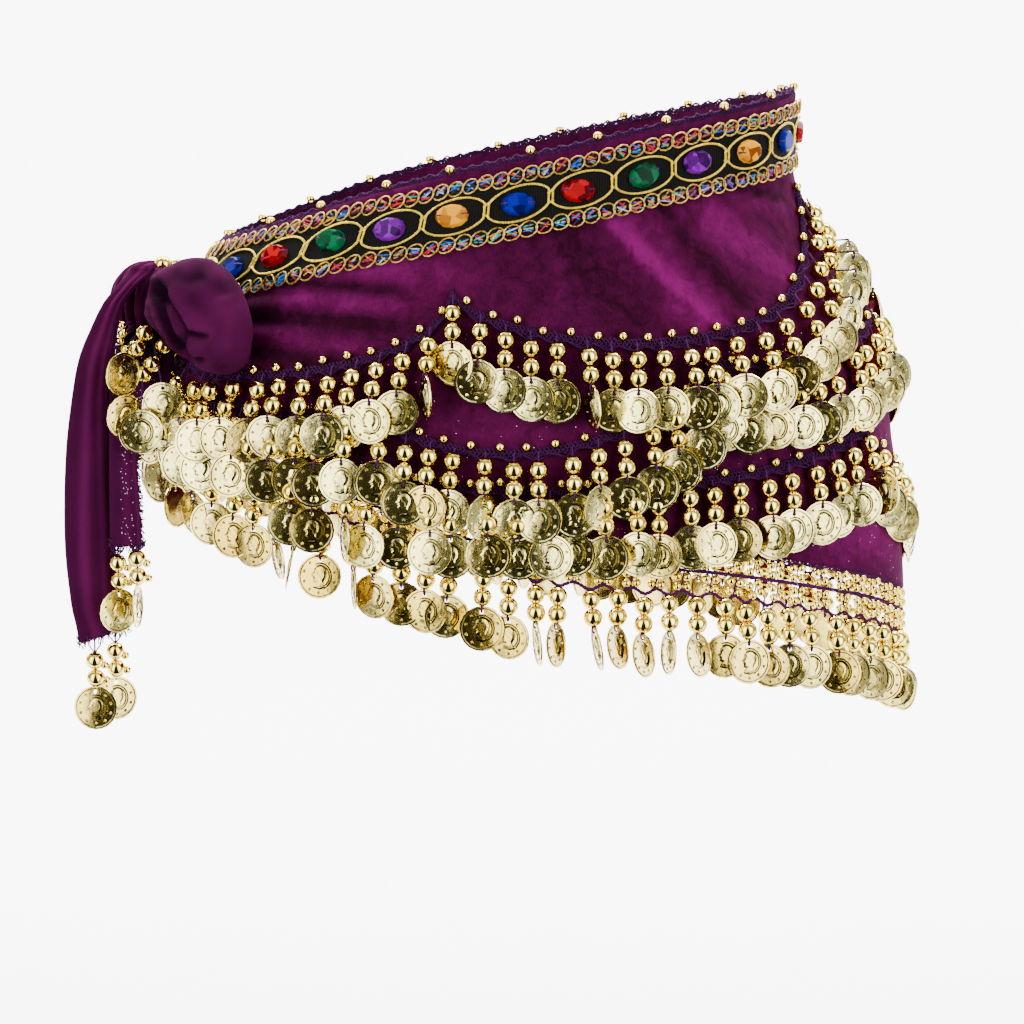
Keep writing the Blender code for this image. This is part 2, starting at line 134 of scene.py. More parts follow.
def frames_at(centres: Points, sides: Points, ups: Points, scale: Any = 1.0) -> Points:
    """Build placing matrices.

    Args:
        centres: Where each copy's origin goes.
        sides: Each copy's X direction.
        ups: Roughly each copy's Y direction, or one for all.
        scale: One size, or one for each copy.

    Returns:
        An array of 4 x 4 matrices.
    """
    x = unit(sides)
    z = unit(np.cross(x, ups))
    y = np.cross(z, x)
    frames = np.tile(np.eye(4), (len(centres), 1, 1))
    size = np.broadcast_to(np.asarray(scale, float), (len(centres),))[:, None]
    for column, axis in enumerate((x, y, z)):
        frames[:, :3, column] = axis * size
    frames[:, :3, 3] = centres
    return frames


# ---------------------------------------------------------------- pieces and meshes


def add_piece(
    name: str,
    mesh: Mesh,
    finishes: Sequence[Material],
    slot: Slot,
    replaces: Sequence[str] = (),
) -> Piece:
    """Make a finished mesh a piece that rides on the scarf's body.

    Args:
        name: The piece's name.
        mesh: Its mesh, in metres and in place.
        finishes: Its materials, in the order of the mesh's material indices.
        slot: Not used.
        replaces: CAD nodes that it stands for.

    Returns:
        The new object.
    """
    for finish in finishes:
        mesh.materials.append(finish)
    mesh.name = name
    piece = bpy.data.objects.new(name, mesh)
    bpy.context.scene.collection.objects.link(piece)
    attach(piece, BODY)
    if replaces:
        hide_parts(*replaces)
    LOG.info("%s: %d faces", name, len(mesh.polygons))
    return piece


def values_of(items: Any, name: str, kind: Any = np.int32, width: int = 1) -> Points:
    """Read one attribute of all of a mesh's points, corners or faces.

    Args:
        items: The points, corners or faces.
        name: The attribute.
        kind: Type of its numbers.
        width: How many numbers each item has.

    Returns:
        The numbers in one row.
    """
    values = np.empty(len(items) * width, kind)
    items.foreach_get(name, values)
    return values


def store(mesh: Mesh, name: str, values: Points) -> None:
    """Store one number for each vertex, for a material to read."""
    layer = mesh.attributes.new(name, "FLOAT", "POINT")
    layer.data.foreach_set("value", np.ascontiguousarray(values).ravel().astype(np.float32))


def settled(solid: bmesh.types.BMesh) -> Mesh:
    """Turn a bmesh into a mesh, and free it.

    Operators may leave faces in another order on each run, so they are sorted here.

    Args:
        solid: The bmesh, in any unit.

    Returns:
        The mesh.
    """
    solid.verts.index_update()
    rows = []
    for face in solid.faces:
        corners = [vertex.index for vertex in face.verts]
        rows.append((corners, face.smooth, face.material_index))
    rows.sort(key=lambda row: sorted(row[0]))
    mesh = bpy.data.meshes.new("made")
    mesh.from_pydata([vertex.co for vertex in solid.verts], [], [row[0] for row in rows])
    mesh.polygons.foreach_set("use_smooth", [row[1] for row in rows])
    mesh.polygons.foreach_set("material_index", [row[2] for row in rows])
    solid.free()
    return mesh


def close_bmesh(solid: bmesh.types.BMesh, smooth_faces: bool = True) -> Mesh:
    """Turn a bmesh into a mesh, faces out, and free it.

    Args:
        solid: The bmesh, in any unit.
        smooth_faces: Whether its faces are shaded smooth.

    Returns:
        The mesh.
    """
    bmesh.ops.recalc_face_normals(solid, faces=solid.faces)
    for face in solid.faces:
        face.smooth = smooth_faces
    return settled(solid)


def cloth_grid(points: Points, flat: Points, outward: Points | None = None) -> Mesh:
    """Shape a bmesh grid into cloth.

    Args:
        points: Places of its vertices, (along, across, 3), in millimetres.
        flat: The same vertices on the flat cut, (along, across, 2), in millimetres.
        outward: A direction that its first face looks along, or None to leave it.

    Returns:
        A mesh in metres with the cut as its UV map, in metres.
    """
    along, across = points.shape[:2]
    grid = bmesh.new()
    bmesh.ops.create_grid(grid, x_segments=along - 1, y_segments=across - 1, size=1)
    mesh = bpy.data.meshes.new("cloth")
    for face in grid.faces:
        face.smooth = True
    grid.to_mesh(mesh)
    grid.free()
    by_rows = np.ascontiguousarray(points.transpose(1, 0, 2)).reshape(-1, 3) * MM
    cut = np.ascontiguousarray(flat.transpose(1, 0, 2)).reshape(-1, 2) * MM
    mesh.vertices.foreach_set("co", by_rows.ravel())
    corners = values_of(mesh.loops, "vertex_index")
    mesh.uv_layers.new(name="UVMap").uv.foreach_set("vector", cut[corners].ravel())
    mesh.update()
    if outward is not None and mesh.polygons[0].normal.dot(Vector(outward)) < 0:
        mesh.flip_normals()
    return mesh


def thicken(piece: Piece, thickness: float, offset: float) -> None:
    """Give a sheet its thickness.

    Args:
        piece: The sheet.
        thickness: In millimetres.
        offset: 1 to grow along the faces' normals, -1 against them, 0 both ways.
    """
    wall = piece.modifiers.new("cloth_thickness", "SOLIDIFY")
    wall.thickness = thickness * MM
    wall.offset = offset
    wall.use_even_offset = False


def scatter(
    template: Mesh,
    frames: Points,
    tone: Points | None = None,
    finish_index: Points | None = None,
) -> Mesh:
    """Join many placed copies of a small mesh into one.

    Args:
        template: The mesh to repeat, in millimetres. Its UV map is kept.
        frames: One 4 x 4 matrix for each copy, in millimetres.
        tone: One number for each copy, stored on its points as "tone".
        finish_index: One material index for each copy.

    Returns:
        The joined mesh, in metres.
    """
    copies, points = len(frames), len(template.vertices)
    corners, faces = len(template.loops), len(template.polygons)
    place = values_of(template.vertices, "co", float, 3).reshape(-1, 3)
    placed = np.einsum("nij,vj->nvi", frames[:, :3, :3], place)
    placed = (placed + frames[:, None, :3, 3]) * MM
    corner_points = values_of(template.loops, "vertex_index")
    starts = values_of(template.polygons, "loop_start")
    soft = values_of(template.polygons, "use_smooth", bool)
    own_finish = values_of(template.polygons, "material_index")
    shift = np.arange(copies, dtype=np.int32)[:, None]
    joined = bpy.data.meshes.new("joined")
    joined.vertices.add(copies * points)
    joined.vertices.foreach_set("co", placed.ravel())
    joined.loops.add(copies * corners)
    joined.loops.foreach_set("vertex_index", (corner_points + shift * points).ravel())
    joined.polygons.add(copies * faces)
    joined.polygons.foreach_set("loop_start", (starts + shift * corners).ravel())
    joined.polygons.foreach_set("use_smooth", np.tile(soft, copies))
    if finish_index is not None:
        own_finish = np.repeat(finish_index.astype(np.int32), faces)
    else:
        own_finish = np.tile(own_finish, copies)
    joined.polygons.foreach_set("material_index", own_finish)
    joined.update(calc_edges=True)
    if template.uv_layers:
        flat = values_of(template.uv_layers[0].uv, "vector", np.float32, 2)
        joined.uv_layers.new(name="UVMap").uv.foreach_set("vector", np.tile(flat, copies))
    if tone is not None:
        store(joined, "tone", np.repeat(tone, points))
    return joined


def yarn(
    paths: Sequence[Points],
    radius: float,
    closed: bool = False,
    finish_index: Sequence[int] | None = None,
) -> Mesh:
    """Draw four-sided threads along paths.

    Args:
        paths: Lists of points in millimetres.
        radius: The threads' radius in millimetres.
        closed: Whether each thread joins its own start.
        finish_index: One material index for each path.

    Returns:
        One mesh with all the threads, in metres.
    """
    curve = bpy.data.curves.new("yarn", "CURVE")
    curve.dimensions = "3D"
    curve.bevel_depth = radius * MM
    curve.bevel_resolution = 0
    curve.use_fill_caps = not closed
    if finish_index is not None:
        for _ in range(max(finish_index) + 1):
            curve.materials.append(None)
    for index, path in enumerate(paths):
        spline = curve.splines.new("POLY")
        spline.points.add(len(path) - 1)
        places = np.concatenate([np.asarray(path) * MM, np.ones((len(path), 1))], axis=1)
        spline.points.foreach_set("co", places.ravel())
        spline.use_cyclic_u = closed
        spline.use_smooth = True
        if finish_index is not None:
            spline.material_index = finish_index[index]
    holder = bpy.data.objects.new("yarn", curve)
    bpy.context.scene.collection.objects.link(holder)
    bpy.context.view_layer.update()
    drawn = holder.evaluated_get(bpy.context.evaluated_depsgraph_get())
    mesh = bpy.data.meshes.new_from_object(drawn)
    chosen = values_of(mesh.polygons, "material_index")
    mesh.materials.clear()
    mesh.polygons.foreach_set("material_index", chosen)
    bpy.data.objects.remove(holder)
    bpy.data.curves.remove(curve)
    return mesh


def plies(line: Points, sides: Points, fronts: Points, pitch: float, reach: float) -> list[Points]:
    """Wind two plies round a line.

    Args:
        line: Points of the line, evenly close.
        sides: A direction across the line at each point.
        fronts: A second direction across it, square to the first.
        pitch: Length of one whole turn.
        reach: How far the plies swing.

    Returns:
        One list of points for each ply.
    """
    turn = TURN * run_lengths(line) / pitch
    wound = []
    for start in (0, math.pi):
        angle = (turn + start)[:, None]
        wound.append(line + sides * np.cos(angle) * reach + fronts * np.sin(angle) * reach)
    return wound


# ---------------------------------------------------------------- materials


def linear(colour: str) -> tuple[float, float, float, float]:
    """Turn an sRGB hex colour into linear RGBA.

    Args:
        colour: The colour, with its #.

    Returns:
        Red, green, blue and alpha.
    """
    shares = [int(colour[i:i + 2], 16) / 255 for i in (1, 3, 5)]
    turned = [c / 12.92 if c <= 0.04045 else ((c + 0.055) / 1.055) ** 2.4 for c in shares]
    return (*turned, 1.0)


def per_mm(size: float) -> float:
    """Texture scale, on coordinates in metres, of a pattern with that spacing in millimetres."""
    return 1.0 / (size * MM)


def dress(tree: Tree, node: bpy.types.Node, inputs: dict[Any, Any]) -> None:
    """Set or link a node's own sockets.

    Args:
        tree: The node tree.
        node: One of its nodes.
        inputs: For each input, by name or index, another node's output or a value.
    """
    for socket, value in inputs.items():
        if isinstance(value, bpy.types.NodeSocket):
            tree.links.new(value, node.inputs[socket])
        else:
            node.inputs[socket].default_value = value


def add_node(
    tree: Tree,
    kind: str,
    settings: dict[str, Any] | None = None,
    inputs: dict[Any, Any] | None = None,
    stops: Sequence[tuple[float, str]] = (),
) -> bpy.types.Node:
    """Add a shader node with its settings and links.

    Args:
        tree: The node tree.
        kind: The node's type name, without "ShaderNode".
        settings: Attributes to set on it.
        inputs: For each input, by name or index, another node's output or a value.
        stops: For a colour ramp, its positions and hex colours.

    Returns:
        The node.
    """
    node = tree.nodes.new("ShaderNode" + kind)
    for attribute, value in (settings or {}).items():
        setattr(node, attribute, value)
    dress(tree, node, inputs or {})
    for index, (position, colour) in enumerate(stops):
        elements = node.color_ramp.elements
        element = elements[index] if index < 2 else elements.new(position)
        element.position = position
        element.color = linear(colour)
    return node


def new_material(name: str) -> tuple[Material, Tree, bpy.types.Node]:
    """Start a material.

    Args:
        name: What the real material is.

    Returns:
        The material, its node tree and its Principled shader.
    """
    material = bpy.data.materials.new(name)
    material.use_nodes = True
    tree = material.node_tree
    return material, tree, tree.nodes["Principled BSDF"]


def math_node(tree: Tree, operation: str, first: Any, second: Any = 0.0) -> Any:
    """Output of a Math node on two sockets or numbers."""
    return add_node(tree, "Math", {"operation": operation}, {0: first, 1: second}).outputs[0]


def scaled(tree: Tree, value: Any, by: float, plus: Any) -> Any:
    """Output of a Math node that scales a socket and adds a number or another socket."""
    return add_node(tree, "Math", {"operation": "MULTIPLY_ADD"}, {0: value, 1: by, 2: plus}).outputs[0]


def stored(tree: Tree, name: str) -> Any:
    """Output of an Attribute node that reads a number stored on the mesh."""
    return add_node(tree, "Attribute", {"attribute_name": name}).outputs["Fac"]


def noisy(
    tree: Tree, place: Any, scale: float, detail: float, roughness: float = 0.5,
    distortion: float = 0.0,
) -> Any:
    """Output of a Noise node at a texture scale.

    Args:
        tree: The node tree.
        place: Coordinates.
        scale: The texture scale.
        detail: Number of finer octaves.
        roughness: Strength of each finer octave.
        distortion: How far it is warped.

    Returns:
        The noise's socket.
    """
    return add_node(tree, "TexNoise", inputs={
        "Vector": place, "Scale": scale, "Detail": detail, "Roughness": roughness,
        "Distortion": distortion,
    }).outputs["Fac"]


def ramp(tree: Tree, value: Any, *stops: tuple[float, str]) -> Any:
    """Output of a colour ramp."""
    return add_node(tree, "ValToRGB", inputs={"Fac": value}, stops=stops).outputs["Color"]


def ranged(
    tree: Tree, value: Any, start: float, end: float, low: float, high: float,
    kind: str = "LINEAR",
) -> Any:
    """Output of a Map Range node, from start to end into low to high.

    Args:
        tree: The node tree.
        value: A socket.
        start: The value that gives low.
        end: The value that gives high.
        low: First result.
        high: Last result.
        kind: How it goes between them.

    Returns:
        The result's socket.
    """
    return add_node(tree, "MapRange", {"interpolation_type": kind}, {
        "Value": value, "From Min": start, "From Max": end, "To Min": low, "To Max": high,
    }).outputs[0]


def flecked(tree: Tree, share: Any, under: Any, colour: str) -> Any:
    """Output of a Mix node that lays a colour over another by a share."""
    return add_node(tree, "Mix", {"data_type": "RGBA"}, {0: share, 6: under, 7: linear(colour)}).outputs[2]


def bumped(tree: Tree, height: Any, strength: float, distance: float) -> Any:
    """Output of a Bump node; a height of 1 stands for the distance in metres.

    Args:
        tree: The node tree.
        height: The height's socket.
        strength: From 0 to 1.
        distance: In metres.

    Returns:
        The normal's socket.
    """
    return add_node(tree, "Bump", inputs={
        "Height": height, "Strength": strength, "Distance": distance,
    }).outputs[0]


@dataclass(frozen=True)
class StretchVelvet:
    """Knitted velvet: a short cut pile, with painted sheen where the pile leans and painted shade in its
    creases.
    """

    deep: str = "#1F0212"
    middle: str = "#3E042C"
    lit: str = "#610B4B"
    speck: str = "#D8C8D6"
    pile_mm: float = 0.7
    lean_mm: float = 2.2
    crush_mm: float = 7.0
    speck_pitch_mm: float = 1.5

    def material(self) -> Material:
        """Build it; a stored attribute carries its painted sheen and painted shade.

        Returns:
            The material.
        """
        material, tree, shader = new_material("stretch_velvet")
        flat = add_node(tree, "TexCoord").outputs["UV"]
        crushed = noisy(tree, flat, per_mm(self.crush_mm), 5.0, 0.62, 0.6)
        strokes = add_node(tree, "Mapping", inputs={
            "Vector": flat, "Scale": (per_mm(self.pile_mm), per_mm(self.lean_mm), 1),
        }).outputs[0]
        # real pile is 0.1 mm across; it is drawn coarser so that it shows
        pile = noisy(tree, strokes, 1.0, 4.0, 0.7)
        # painted sheen and painted shade from the stored attribute, varied by the crushed pattern
        shade = scaled(tree, stored(tree, "nap"), 1.0, scaled(tree, crushed, 0.9, -0.45))
        shade = scaled(tree, pile, 0.6, scaled(tree, shade, 1.0, -0.3))
        cloth = ramp(tree, shade, (0.0, self.deep), (1.0, self.lit), (0.45, self.middle))
        dots = add_node(tree, "TexVoronoi", inputs={
            "Vector": flat, "Scale": per_mm(self.speck_pitch_mm), "Randomness": 0.8,
        }).outputs["Distance"]
        dots = math_node(tree, "MULTIPLY", math_node(tree, "LESS_THAN", dots, 0.14), stored(tree, "specks"))
        dots = math_node(tree, "MULTIPLY", math_node(tree, "GREATER_THAN", crushed, 0.56), dots)
        colour = flecked(tree, dots, cloth, self.speck)
        bump = bumped(tree, pile, 0.3, 0.3 * MM)
        dress(tree, shader, {
            "Base Color": colour, "Roughness": 0.9, "Specular IOR Level": 0.03, "Normal": bump,
            "Sheen Weight": 0.06, "Sheen Roughness": 0.35, "Sheen Tint": linear("#A8408E"),
        })
        return material


@dataclass(frozen=True)
class TieCrepe:
    """Polyester crepe, woven from overtwisted yarn: matt, with a fine pebble."""

    deep: str = "#150110"
    lit: str = "#551041"
    speck: str = "#C9B7CC"
    pebble_mm: float = 0.8
    cloud_mm: float = 18
    speck_pitch_mm: float = 1.3

    def material(self) -> Material:
        """Build it; a stored attribute carries the painted light and shade of its folds, and "specks" its
        glitter.

        Returns:
            The material.
        """
        material, tree, shader = new_material("polyester_crepe")
        place = add_node(tree, "TexCoord").outputs["Object"]
        # a crepe's pebble is about 0.3 mm; it is drawn coarser so that it shows
        pebble = noisy(tree, place, per_mm(self.pebble_mm), 3.0, 0.7)
        clouds = scaled(tree, noisy(tree, place, per_mm(self.cloud_mm), 3.0), 0.16, -0.08)
        # painted light and shade of the folds, from the stored attribute, with random clouds
        shade = scaled(tree, stored(tree, "nap"), 1.0, clouds)
        shade = scaled(tree, pebble, 0.14, scaled(tree, shade, 1.0, -0.07))
        cloth = ramp(tree, shade, (0.0, self.deep), (1.0, self.lit))
        dots = add_node(tree, "TexVoronoi", inputs={
            "Vector": place, "Scale": per_mm(self.speck_pitch_mm), "Randomness": 1.0,
        }).outputs["Distance"]
        dots = math_node(tree, "MULTIPLY", math_node(tree, "LESS_THAN", dots, 0.17), stored(tree, "specks"))
        colour = flecked(tree, dots, cloth, self.speck)
        bump = bumped(tree, pebble, 0.12, 0.3 * MM)
        dress(tree, shader, {
            "Base Color": colour, "Roughness": 0.9, "Specular IOR Level": 0.02, "Normal": bump,
        })
        return material


@dataclass(frozen=True)
class Yarn:
    """Dyed spun yarn: two fuzzy plies, dark between them."""

    name: str
    deep: str
    lit: str
    ply_mm: float = 0.7
    # Soft boxes beside and over the scarf, and a row aimed at the backdrop.
    roughness: float = 0.85

    def material(self) -> Material:
        """Build it.

        Returns:
            The material.
        """
        material, tree, shader = new_material(self.name)
        place = add_node(tree, "TexCoord").outputs["Object"]
        ply = noisy(tree, place, per_mm(self.ply_mm), 2.0, 0.7)
        colour = ramp(tree, ply, (0.3, self.deep), (0.7, self.lit))
        bump = bumped(tree, ply, 0.5, 0.3 * MM)
        dress(tree, shader, {
            "Base Color": colour, "Roughness": self.roughness, "Normal": bump,
            "Sheen Weight": 0.04, "Sheen Roughness": 0.5, "Sheen Tint": linear(self.lit),
            "Specular IOR Level": 0.1,
        })
        return material


@dataclass(frozen=True)
class PlatedBead:
    """Moulded acrylic bead, vacuum plated: a near mirror of pale gold."""

    name: str = "gold_plated_bead"
    pale: str = "#FFED80"
    rich: str = "#EBD056"
    edge: str = "#BFA04A"
    smudge_mm: float = 2.5

    def material(self) -> Material:
        """Build it; each bead's "tone" turns it paler or richer.

        Returns:
            The material.
        """
        material, tree, shader = new_material(self.name)
        place = add_node(tree, "TexCoord").outputs["Object"]
        plating = ramp(tree, stored(tree, "tone"), (0.0, self.rich), (1.0, self.pale))
        smudges = noisy(tree, place, per_mm(self.smudge_mm), 4.0)
        roughness = ranged(tree, smudges, 0.3, 0.75, 0.06, 0.16)
        dress(tree, shader, {
            "Base Color": plating, "Metallic": 1.0, "Roughness": roughness,
            "Specular Tint": linear(self.edge),
        })
        return material


@dataclass(frozen=True)
class StampedCoin:
    """Thin stamped brass, pale plated: a mirror that the stamp has dished and dented."""

    name: str = "stamped_brass_coin"
    pale: str = "#EEE08A"
    brass: str = "#C8AA48"
    hollow: str = "#4E4A2C"
    lock_mm: float = 1.6
    dent_mm: float = 5
    bloom_mm: float = 7
    dish_per_m: float = 8.0

    def material(self) -> Material:
        """Build it; the UV map is the coin's face, and "tone" its share of brass.

        Returns:
            The material.
        """
        material, tree, shader = new_material(self.name)
        face = add_node(tree, "TexCoord").outputs["UV"]
        place = add_node(tree, "TexCoord").outputs["Object"]
        bloom = noisy(tree, place, per_mm(self.bloom_mm), 3.0, 0.6)
        locks = noisy(tree, face, per_mm(self.lock_mm), 1.0, 0.5, 1.5)
        dents = noisy(tree, place, per_mm(self.dent_mm), 0.5)
        share = scaled(tree, bloom, 0.4, scaled(tree, stored(tree, "tone"), 1.0, -0.2))
        plate = ramp(tree, share, (0.1, self.pale), (0.95, self.brass))
        colour = flecked(tree, ranged(tree, locks, 0.35, 0.5, 0.35, 0.0), plate, self.hollow)
        reach = add_node(tree, "VectorMath", {"operation": "LENGTH"}, {0: face}).outputs["Value"]
        dish = math_node(tree, "MULTIPLY", math_node(tree, "MULTIPLY", reach, reach), -self.dish_per_m)
        relief = scaled(tree, locks, 0.04 * MM, dish)
        relief = scaled(tree, dents, 0.28 * MM, relief)
        bump = bumped(tree, relief, 1.0, 1.0)
        dress(tree, shader, {
            "Base Color": colour, "Metallic": 1.0, "Roughness": 0.16, "Normal": bump,
        })
        return material


@dataclass(frozen=True)
class RibbedRibbon:
    """Black grosgrain: fine ribs across the ribbon; each rib's crest is painted paler, lint and painted
    sheen.
    """

    black: str = "#050504"
    lint_and_sheen: str = "#171612"
    rib_mm: float = 1.2
    lint_mm: float = 0.9

    def material(self) -> Material:
        """Build it; the UV map runs along and across the ribbon.

        Returns:
            The material.
        """
        material, tree, shader = new_material("black_grosgrain")
        flat = add_node(tree, "TexCoord").outputs["UV"]
        # ribs are 0.5 mm apart; they are drawn coarser so that they show
        ribs = add_node(tree, "TexWave", {"bands_direction": "X"}, {
            "Vector": flat, "Scale": per_mm(self.rib_mm) / 3.2, "Distortion": 0.6, "Detail": 1.0,
        }).outputs["Fac"]
        mixed = math_node(tree, "MULTIPLY", ribs, noisy(tree, flat, per_mm(self.lint_mm), 3.0))
        # rib crests painted paler where the lint noise is high: lint and painted sheen
        colour = ramp(tree, mixed, (0.1, self.black), (0.8, self.lint_and_sheen))
        bump = bumped(tree, ribs, 0.4, 0.2 * MM)
        dress(tree, shader, {
            "Base Color": colour, "Roughness": 0.7, "Specular IOR Level": 0.05, "Normal": bump,
        })
        return material


@dataclass(frozen=True)
class MetalThread:
    """Metal foil wound on a core: painted glints and dark gaps along each wrap, from noise."""

    name: str
    pale: str
    deep: str
    foil_mm: float = 0.5
    roughness: float = 0.38

    def material(self) -> Material:
        """Build it.

        Returns:
            The material.
        """
        material, tree, shader = new_material(self.name)
        place = add_node(tree, "TexCoord").outputs["Object"]
        foil = noisy(tree, place, per_mm(self.foil_mm), 2.0, 0.6)
        # painted glints and dark gaps: noise turns the foil pale or deep
        colour = ramp(tree, foil, (0.32, self.deep), (0.6, self.pale))
        bump = bumped(tree, foil, 0.4, 0.15 * MM)
        dress(tree, shader, {
            "Base Color": colour, "Metallic": 0.85, "Roughness": self.roughness, "Normal": bump,
        })
        return material


@dataclass(frozen=True)
class FoiledGem:
    """Faceted acrylic on a foil back: deep colour, with random cells painted bright as painted facet
    highlights.
    """

    name: str
    lit: str
    deep: str
    facet_mm: float = 4.2

    def material(self) -> Material:
        """Build it.

        Returns:
            The material.
        """
        material, tree, shader = new_material(self.name)
        place = add_node(tree, "TexCoord").outputs["Object"]
        facets = add_node(tree, "TexVoronoi", inputs={
            "Vector": place, "Scale": per_mm(self.facet_mm), "Randomness": 1.0,
        }).outputs["Color"]
        shade = add_node(tree, "SeparateColor", inputs={0: facets}).outputs[0]
        # painted highlights and shade on random cells of the stone
        colour = ramp(tree, shade, (0.15, self.deep), (0.6, self.lit))
        dress(tree, shader, {
            "Base Color": colour, "Roughness": 0.15, "Specular IOR Level": 0.03,
        })
        return material


class Finishes:
    """Every finish of the scarf, built once."""

    def __init__(self) -> None:
        """Build the materials."""
        self.velvet = StretchVelvet().material()
        self.tie = TieCrepe().material()
        self.crochet = Yarn("dyed_crochet_cotton", "#140216", "#3C083E").material()
        self.net_yarn = Yarn("plum_crochet_cotton", "#1C041E", "#4A0F4A").material()
        self.bead = PlatedBead().material()
        self.small_bead = PlatedBead("gold_plated_small_bead", "#FFEA7A", "#E8CC50").material()
        self.coins = [
            StampedCoin().material(),
            # a darker copy of the brass for the relief's slopes: painted shade
            StampedCoin("brass_relief_painted_shade", "#96905E", "#746A38", "#2C2B1C").material(),
        ]
        self.ribbon = RibbedRibbon().material()
        self.rope = MetalThread("pale_gold_lurex_rope", "#FFDE48", "#7A5E12", 0.5, 0.3).material()
        self.link = MetalThread("gold_lurex_link", "#E4B84E", "#4A300C", 0.9, 0.3).material()
        self.threads = [
            Yarn(name, deep, lit, 0.8, 0.35).material()
            for name, deep, lit in (
                ("red_floss", "#7A0A1C", "#D0203E"), ("blue_floss", "#0C2E78", "#2E68D0"),
                ("yellow_floss", "#8E5C10", "#DCAA30"), ("sea_green_floss", "#12645A", "#4CB4A0"),
                ("black_floss", "#0A0A0C", "#2A2930"), ("white_floss", "#7C8496", "#D2D6E0"),
            )
        ]
        self.gems = [
            FoiledGem(name, lit, deep).material()
            for name, lit, deep in (
                ("ruby_acrylic", "#9A000A", "#380006"), ("emerald_acrylic", "#005430", "#012012"),
                ("violet_acrylic", "#6A028A", "#260236"), ("amber_acrylic", "#D08A00", "#6A3002"),
                ("sapphire_acrylic", "#040E7C", "#02062E"),
            )
        ]
        self.stitch = Yarn("purple_sewing_thread", "#1E0622", "#481050", 0.4, 0.5).material()


# ---------------------------------------------------------------- the form and the cut


class HipSection(NamedTuple):
    """One level ellipse of the figure."""

    height: float
    half_width: float
    half_depth: float
    centre_x: float


class CutSection(NamedTuple):
    """Where the panel's edge and hem lie at an angle; the back mirrors the front."""

    angle: float
    edge: float
    hem: float


class Scallop(NamedTuple):
    """One dip of a crochet row between two tips."""

    start: float
    end: float
    start_height: float
    end_height: float
    sag: float
    skew: float


class Fold(NamedTuple):
    """A fold of the velvet, straight or bent, strongest at its start."""

    start_angle: float
    start_height: float
    end_angle: float
    end_height: float
    half_width: float
    lift: float
    bend: float = 0.0


class PaintedLightBand(NamedTuple):
    """A stretch of painted sheen, or of painted shade where its amount is below 0, with a sharper edge on
    its lower side.
    """

    start_angle: float
    start_height: float
    end_angle: float
    end_height: float
    half_width: float
    amount: float
    sharp_below: float = 1.0

    def below(self) -> float:
        """Sign of the aside distances that lie below the band."""
        return 1.0 if self.end_angle < self.start_angle else -1.0


@dataclass(frozen=True)
class HipForm:
    """The general figure that the scarf goes round."""

    sections: tuple[HipSection, ...] = (
        HipSection(-260, 173, 112, -2), HipSection(-183, 174.5, 114, -1.5),
        HipSection(-113, 169, 112, -2), HipSection(-53, 157.5, 105, -0.5),
        HipSection(-27, 142.5, 100, -2.5), HipSection(0, 127, 94, -2),
        HipSection(20, 120.75, 90, -0.75), HipSection(60, 119.75, 88, 1.75),
    )

    def read(self, column: str, height: Points) -> Points:
        """One of the ellipses' sizes at a height."""
        heights = [row.height for row in self.sections]
        return smooth(heights, [getattr(row, column) for row in self.sections], height)

    def away(self, angle: Points, height: Points) -> Points:
        """The level way out of the form.

        Args:
            angle: Degrees round the form.
            height: Millimetres up.

        Returns:
            Vectors of length 1.
        """
        turn = np.radians(angle)
        x = np.cos(turn) / self.read("half_width", height)
        y = -np.sin(turn) / self.read("half_depth", height)
        return unit(np.stack([x, y, np.zeros_like(x)], axis=-1))

    def around(self, angle: Points, height: Points) -> Points:
        """The level way round the form, towards larger angles."""
        away = self.away(angle, height)
        return np.stack([away[..., 1], -away[..., 0], np.zeros_like(away[..., 0])], axis=-1)

    def place(self, angle: Points, height: Points, out: Points) -> Points:
        """Points off the form.

        Args:
            angle: Degrees round it.
            height: Millimetres up.
            out: Millimetres off it.

        Returns:
            The points, in millimetres.
        """
        angle, height, out = np.broadcast_arrays(*(np.asarray(v, float) for v in (angle, height, out)))
        turn = np.radians(angle)
        x = self.read("centre_x", height) + self.read("half_width", height) * np.cos(turn)
        y = -self.read("half_depth", height) * np.sin(turn)
        return np.stack([x, y, height], axis=-1) + self.away(angle, height) * out[..., None]


@dataclass(frozen=True)
class Cut:
    """The panel's upper edge and hem, and the net below it."""

    sections: tuple[CutSection, ...] = (
        CutSection(0, 52.5, -176), CutSection(30, 48, -162), CutSection(60, 39, -147),
        CutSection(90, 25.5, -136), CutSection(120, 10.5, -109), CutSection(150, -7.5, -84),
        CutSection(180, -16, -70),
    )
    seam: float = 158.0
    net_height: float = 21.0

    def read(self, column: str, angle: Points) -> Points:
        """Height of the edge or the hem at an angle.

        Args:
            column: Which of the two.
            angle: Degrees round the form.

        Returns:
            Millimetres up.
        """
        keys = [row.angle for row in self.sections]
        from_side = np.abs((np.asarray(angle, float) + 180) % 360 - 180)
        return smooth(keys, [getattr(row, column) for row in self.sections], from_side)

    def edge(self, angle: Points) -> Points:
        """Height of the upper edge."""
        return self.read("edge", angle)

    def hem(self, angle: Points) -> Points:
        """Height of the velvet's hem."""
        return self.read("hem", angle)

    def net(self, angle: Points) -> Points:
        """Height of the net's lower edge."""
        return self.hem(angle) - self.net_height


FORM = HipForm()
CUT = Cut()


